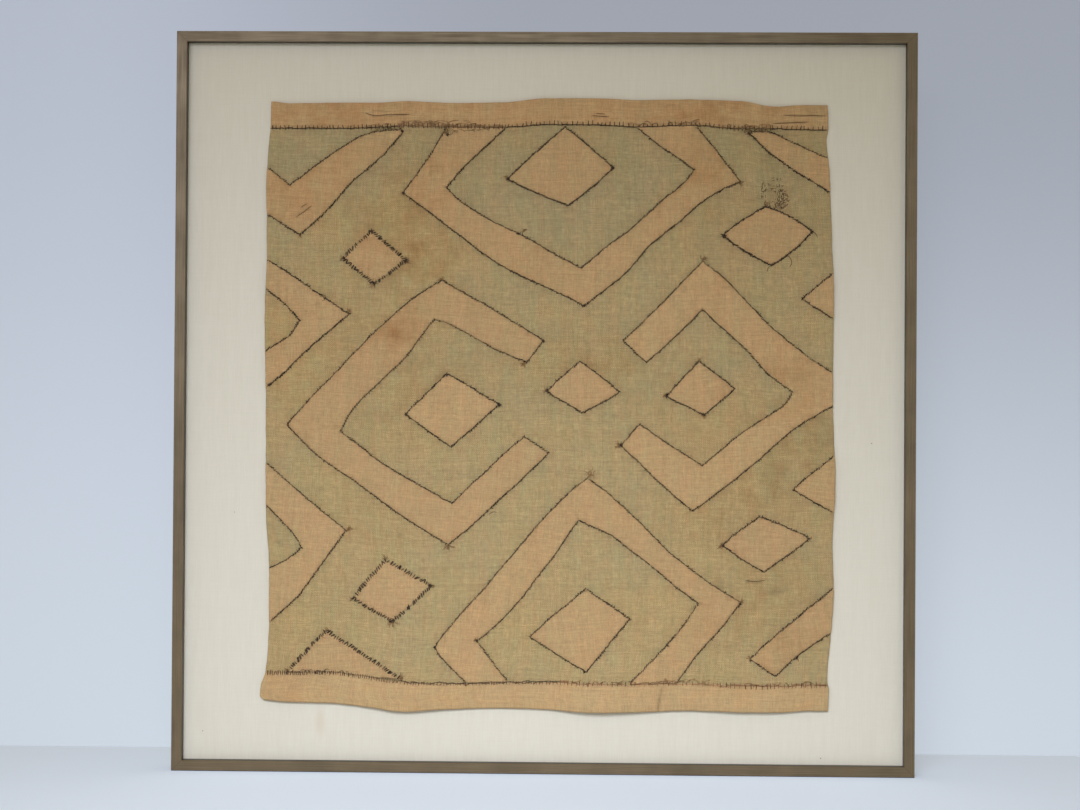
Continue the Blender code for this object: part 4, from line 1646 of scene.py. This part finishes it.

# painted shade: fine dark threads laid along the parted threads, in place of the shade in their gaps
splitShadeLines = (
    ((-210, 765.7), (-203, 763.6), (-197, 762.4), (-188, 763.8), (-179, 764.4), (-168, 764.0), (-158, 764.5)),
    ((-290, 643.8), (-285, 647.6), (-280, 650.6), (-276, 654.4), (-271.5, 657.6)),
    ((-284.5, 655.2), (-281, 658.0), (-277, 659.8)),
    ((54, 763.8), (63, 763.0), (74, 762.4)), ((59, 766.2), (69, 765.6)),
    ((276, 765.0), (290, 763.8), (306, 764.6), (325, 764.2)), ((264, 755.2), (284, 756.0), (304, 757.2)),
    ((235, 225.2), (245, 223.8), (257, 225.4)),
)


def makeSplitShadeLines():
    bundle = newBundle()
    random = Random(61)
    for places in splitShadeLines:
        path = [Vector((x, looseY(x, z) - 0.05, z)) for x, z in places]
        addTube(bundle, softened(path), fineThread["splitShade"], random.random(), 5)
    finishBundle(bundle, "splitShadeThreads", "splitShadeThread")


makeSplitShadeLines()

# loose ends left hanging, by their places from knot to tip
looseEnds = {
    "darkThread": (
        ((281, 603), (285, 599), (287, 593), (284, 589)), ((263, 591), (259, 588), (258, 583)),
        ((310, 630), (314, 628), (316, 623)), ((257, 659), (254, 662), (256, 666)),
        ((-26, 629), (-23, 632), (-20, 630)),
    ),
    "brownThread": (
        ((-262, 551), (-258, 554), (-254, 552), (-255, 548), (-259, 547)),
        ((-63, 299), (-59, 303), (-54, 302)),
    ),
    "rustThread": (
        ((53, 342), (57, 346), (54, 350), (58, 353), (56, 357)), ((59, 343), (57, 348), (60, 351)),
    ),
}


def makeLooseEnds():
    random = Random(67)
    for thread, ends in looseEnds.items():
        bundle = newBundle()
        for places in ends:
            path = [Vector((x, looseY(x, z) - 0.3 - 0.35 * (k % 2), z)) for k, (x, z) in enumerate(places)]
            addTube(bundle, softened(path), fineThread["loose"], random.random(), 5)
        finishBundle(bundle, "looseEnds_" + thread, thread)


makeLooseEnds()

lint = (
    # x,   z, length, degrees
    (-395, 45, 1.4, 40), (323, 20, 1.6, 120), (380, 385, 1.5, 20), (-360, 300, 1.0, 80),
)


def makeLint():
    bundle = newBundle()
    for x, z, length, angle in lint:
        side = Vector((cos(radians(angle)), 0, sin(radians(angle)))) * length / 2
        middle = Vector((x, linenY - 0.25, z))
        addTube(bundle, [middle - side, middle, middle + side], fineThread["lint"], 0.4, 5)
    finishBundle(bundle, "linenLint", "brownThread")


makeLint()
print("knots, loose ends and the darn added")

# Studio: a pale floor, a backdrop and two soft lamps.

studio = {
    "wallY": 0.155,
    "floor": (0.74, 0.79, 0.86),
    "floorGlow": (0.135, 0.185, 0.270),
    "wall": (0.25, 0.28, 0.31),
    "wallGlow": ((0.420, 0.470, 0.535), (0.333, 0.364, 0.455)),     # low and high on the wall
    "wallDusk": 0.30,                                               # darker towards its upper right
    "ambient": ((1.0, 0.88, 0.64), 0.40),
    "behindCamera": (0.60, 0.64, 0.70),
}
lamps = (
    # name, place, aimed at, size, spread in degrees, power, colour
    ("softBeam", (-0.25, -2.2, 1.15), (0.03, 0.0, -0.22), (1.3, 0.9), 55, 4.42, (1.0, 1.05, 1.17)),
    ("upperLeft", (-0.75, -1.1, 1.15), (-0.38, 0.0, 0.76), (0.5, 0.5), 60, 0.18, (1.0, 0.99, 1.20)),
)


def plainSurface(name, colour):
    material, tree, shader = newMaterial(name)
    shader.inputs["Base Color"].default_value = (*colour, 1)
    shader.inputs["Roughness"].default_value = 0.75
    shader.inputs["Specular IOR Level"].default_value = 0.3
    return material, tree, shader


def flatPiece(name, corners, material):
    mesh = bpy.data.meshes.new(name)
    mesh.from_pydata(corners, [], [(0, 1, 2, 3)])
    mesh.materials.append(material)
    piece = bpy.data.objects.new(name, mesh)
    bpy.context.scene.collection.objects.link(piece)
    return piece


# the backdrop shows from the front only, and keeps no light from the frame's back
def makeStage():
    material, tree, shader = plainSurface("paleFloor", studio["floor"])
    shader.inputs["Emission Color"].default_value = (*studio["floorGlow"], 1)
    plug(tree, addNode(tree, "ShaderNodeLightPath").outputs["Is Camera Ray"],
         shader.inputs["Emission Strength"])
    flatPiece("floor", [(-6, -7, 0), (6, -7, 0), (6, 7, 0), (-6, 7, 0)], material)
    material, tree, shader = plainSurface("paleWall", studio["wall"])
    x, _, height = splitVector(tree, addNode(tree, "ShaderNodeTexCoord").outputs["Object"])
    low, high = studio["wallGlow"]
    # painted light: the backdrop glows brighter low and darker high, and darker still towards its upper right
    glow = mixColours(tree, rangeTo(tree, height, 0.0, 0.95), (*low, 1), (*high, 1))
    dusk = maths(tree, "MULTIPLY", rangeTo(tree, height, 0.0, 0.9), rangeTo(tree, x, -0.60, 0.0))
    glow = mixColours(tree, maths(tree, "MULTIPLY", dusk, studio["wallDusk"]), glow, (0, 0, 0, 1))
    plug(tree, glow, shader.inputs["Emission Color"])
    shader.inputs["Emission Strength"].default_value = 1.0
    clear = addNode(tree, "ShaderNodeBsdfTransparent")
    behind = addNode(tree, "ShaderNodeNewGeometry").outputs["Backfacing"]
    pick = addNode(tree, "ShaderNodeMixShader")
    for value, socket in zip((behind, shader.outputs[0], clear.outputs[0]), pick.inputs):
        plug(tree, value, socket)
    plug(tree, pick.outputs[0], tree.nodes["Material Output"].inputs["Surface"])
    y = studio["wallY"]
    wall = flatPiece("backdrop", [(-6, y, 0), (6, y, 0), (6, y, 4), (-6, y, 4)], material)
    wall.visible_diffuse = False
    wall.visible_glossy = False
    wall.visible_shadow = False


# the air lights the cloth warmly, and is a plain pale grey where the camera sees it
def makeAir():
    world = bpy.data.worlds.new("studioAir")
    world.use_nodes = True
    tree = world.node_tree
    colour, strength = studio["ambient"]
    air = tree.nodes["Background"]
    air.inputs["Color"].default_value = (*colour, 1)
    air.inputs["Strength"].default_value = strength
    seen = addNode(tree, "ShaderNodeBackground")
    seen.inputs["Color"].default_value = (*studio["behindCamera"], 1)
    pick = addNode(tree, "ShaderNodeMixShader")
    cameraRay = addNode(tree, "ShaderNodeLightPath").outputs["Is Camera Ray"]
    for value, socket in zip((cameraRay, air.outputs[0], seen.outputs[0]), pick.inputs):
        plug(tree, value, socket)
    plug(tree, pick.outputs[0], tree.nodes["World Output"].inputs["Surface"])
    bpy.context.scene.world = world


def makeLamps():
    for name, place, target, size, beam, power, colour in lamps:
        data = bpy.data.lights.new(name, "AREA")
        data.shape = "RECTANGLE"
        data.size, data.size_y = size
        data.spread = radians(beam)
        data.energy = power
        data.color = colour
        lamp = bpy.data.objects.new(name, data)
        lamp.location = place
        lamp.rotation_euler = (Vector(target) - Vector(place)).to_track_quat("-Z", "Y").to_euler()
        lamp.visible_camera = False
        bpy.context.scene.collection.objects.link(lamp)


makeStage()
makeAir()
makeLamps()
bpy.context.scene.view_settings.view_transform = "Standard"
print("studio lit")
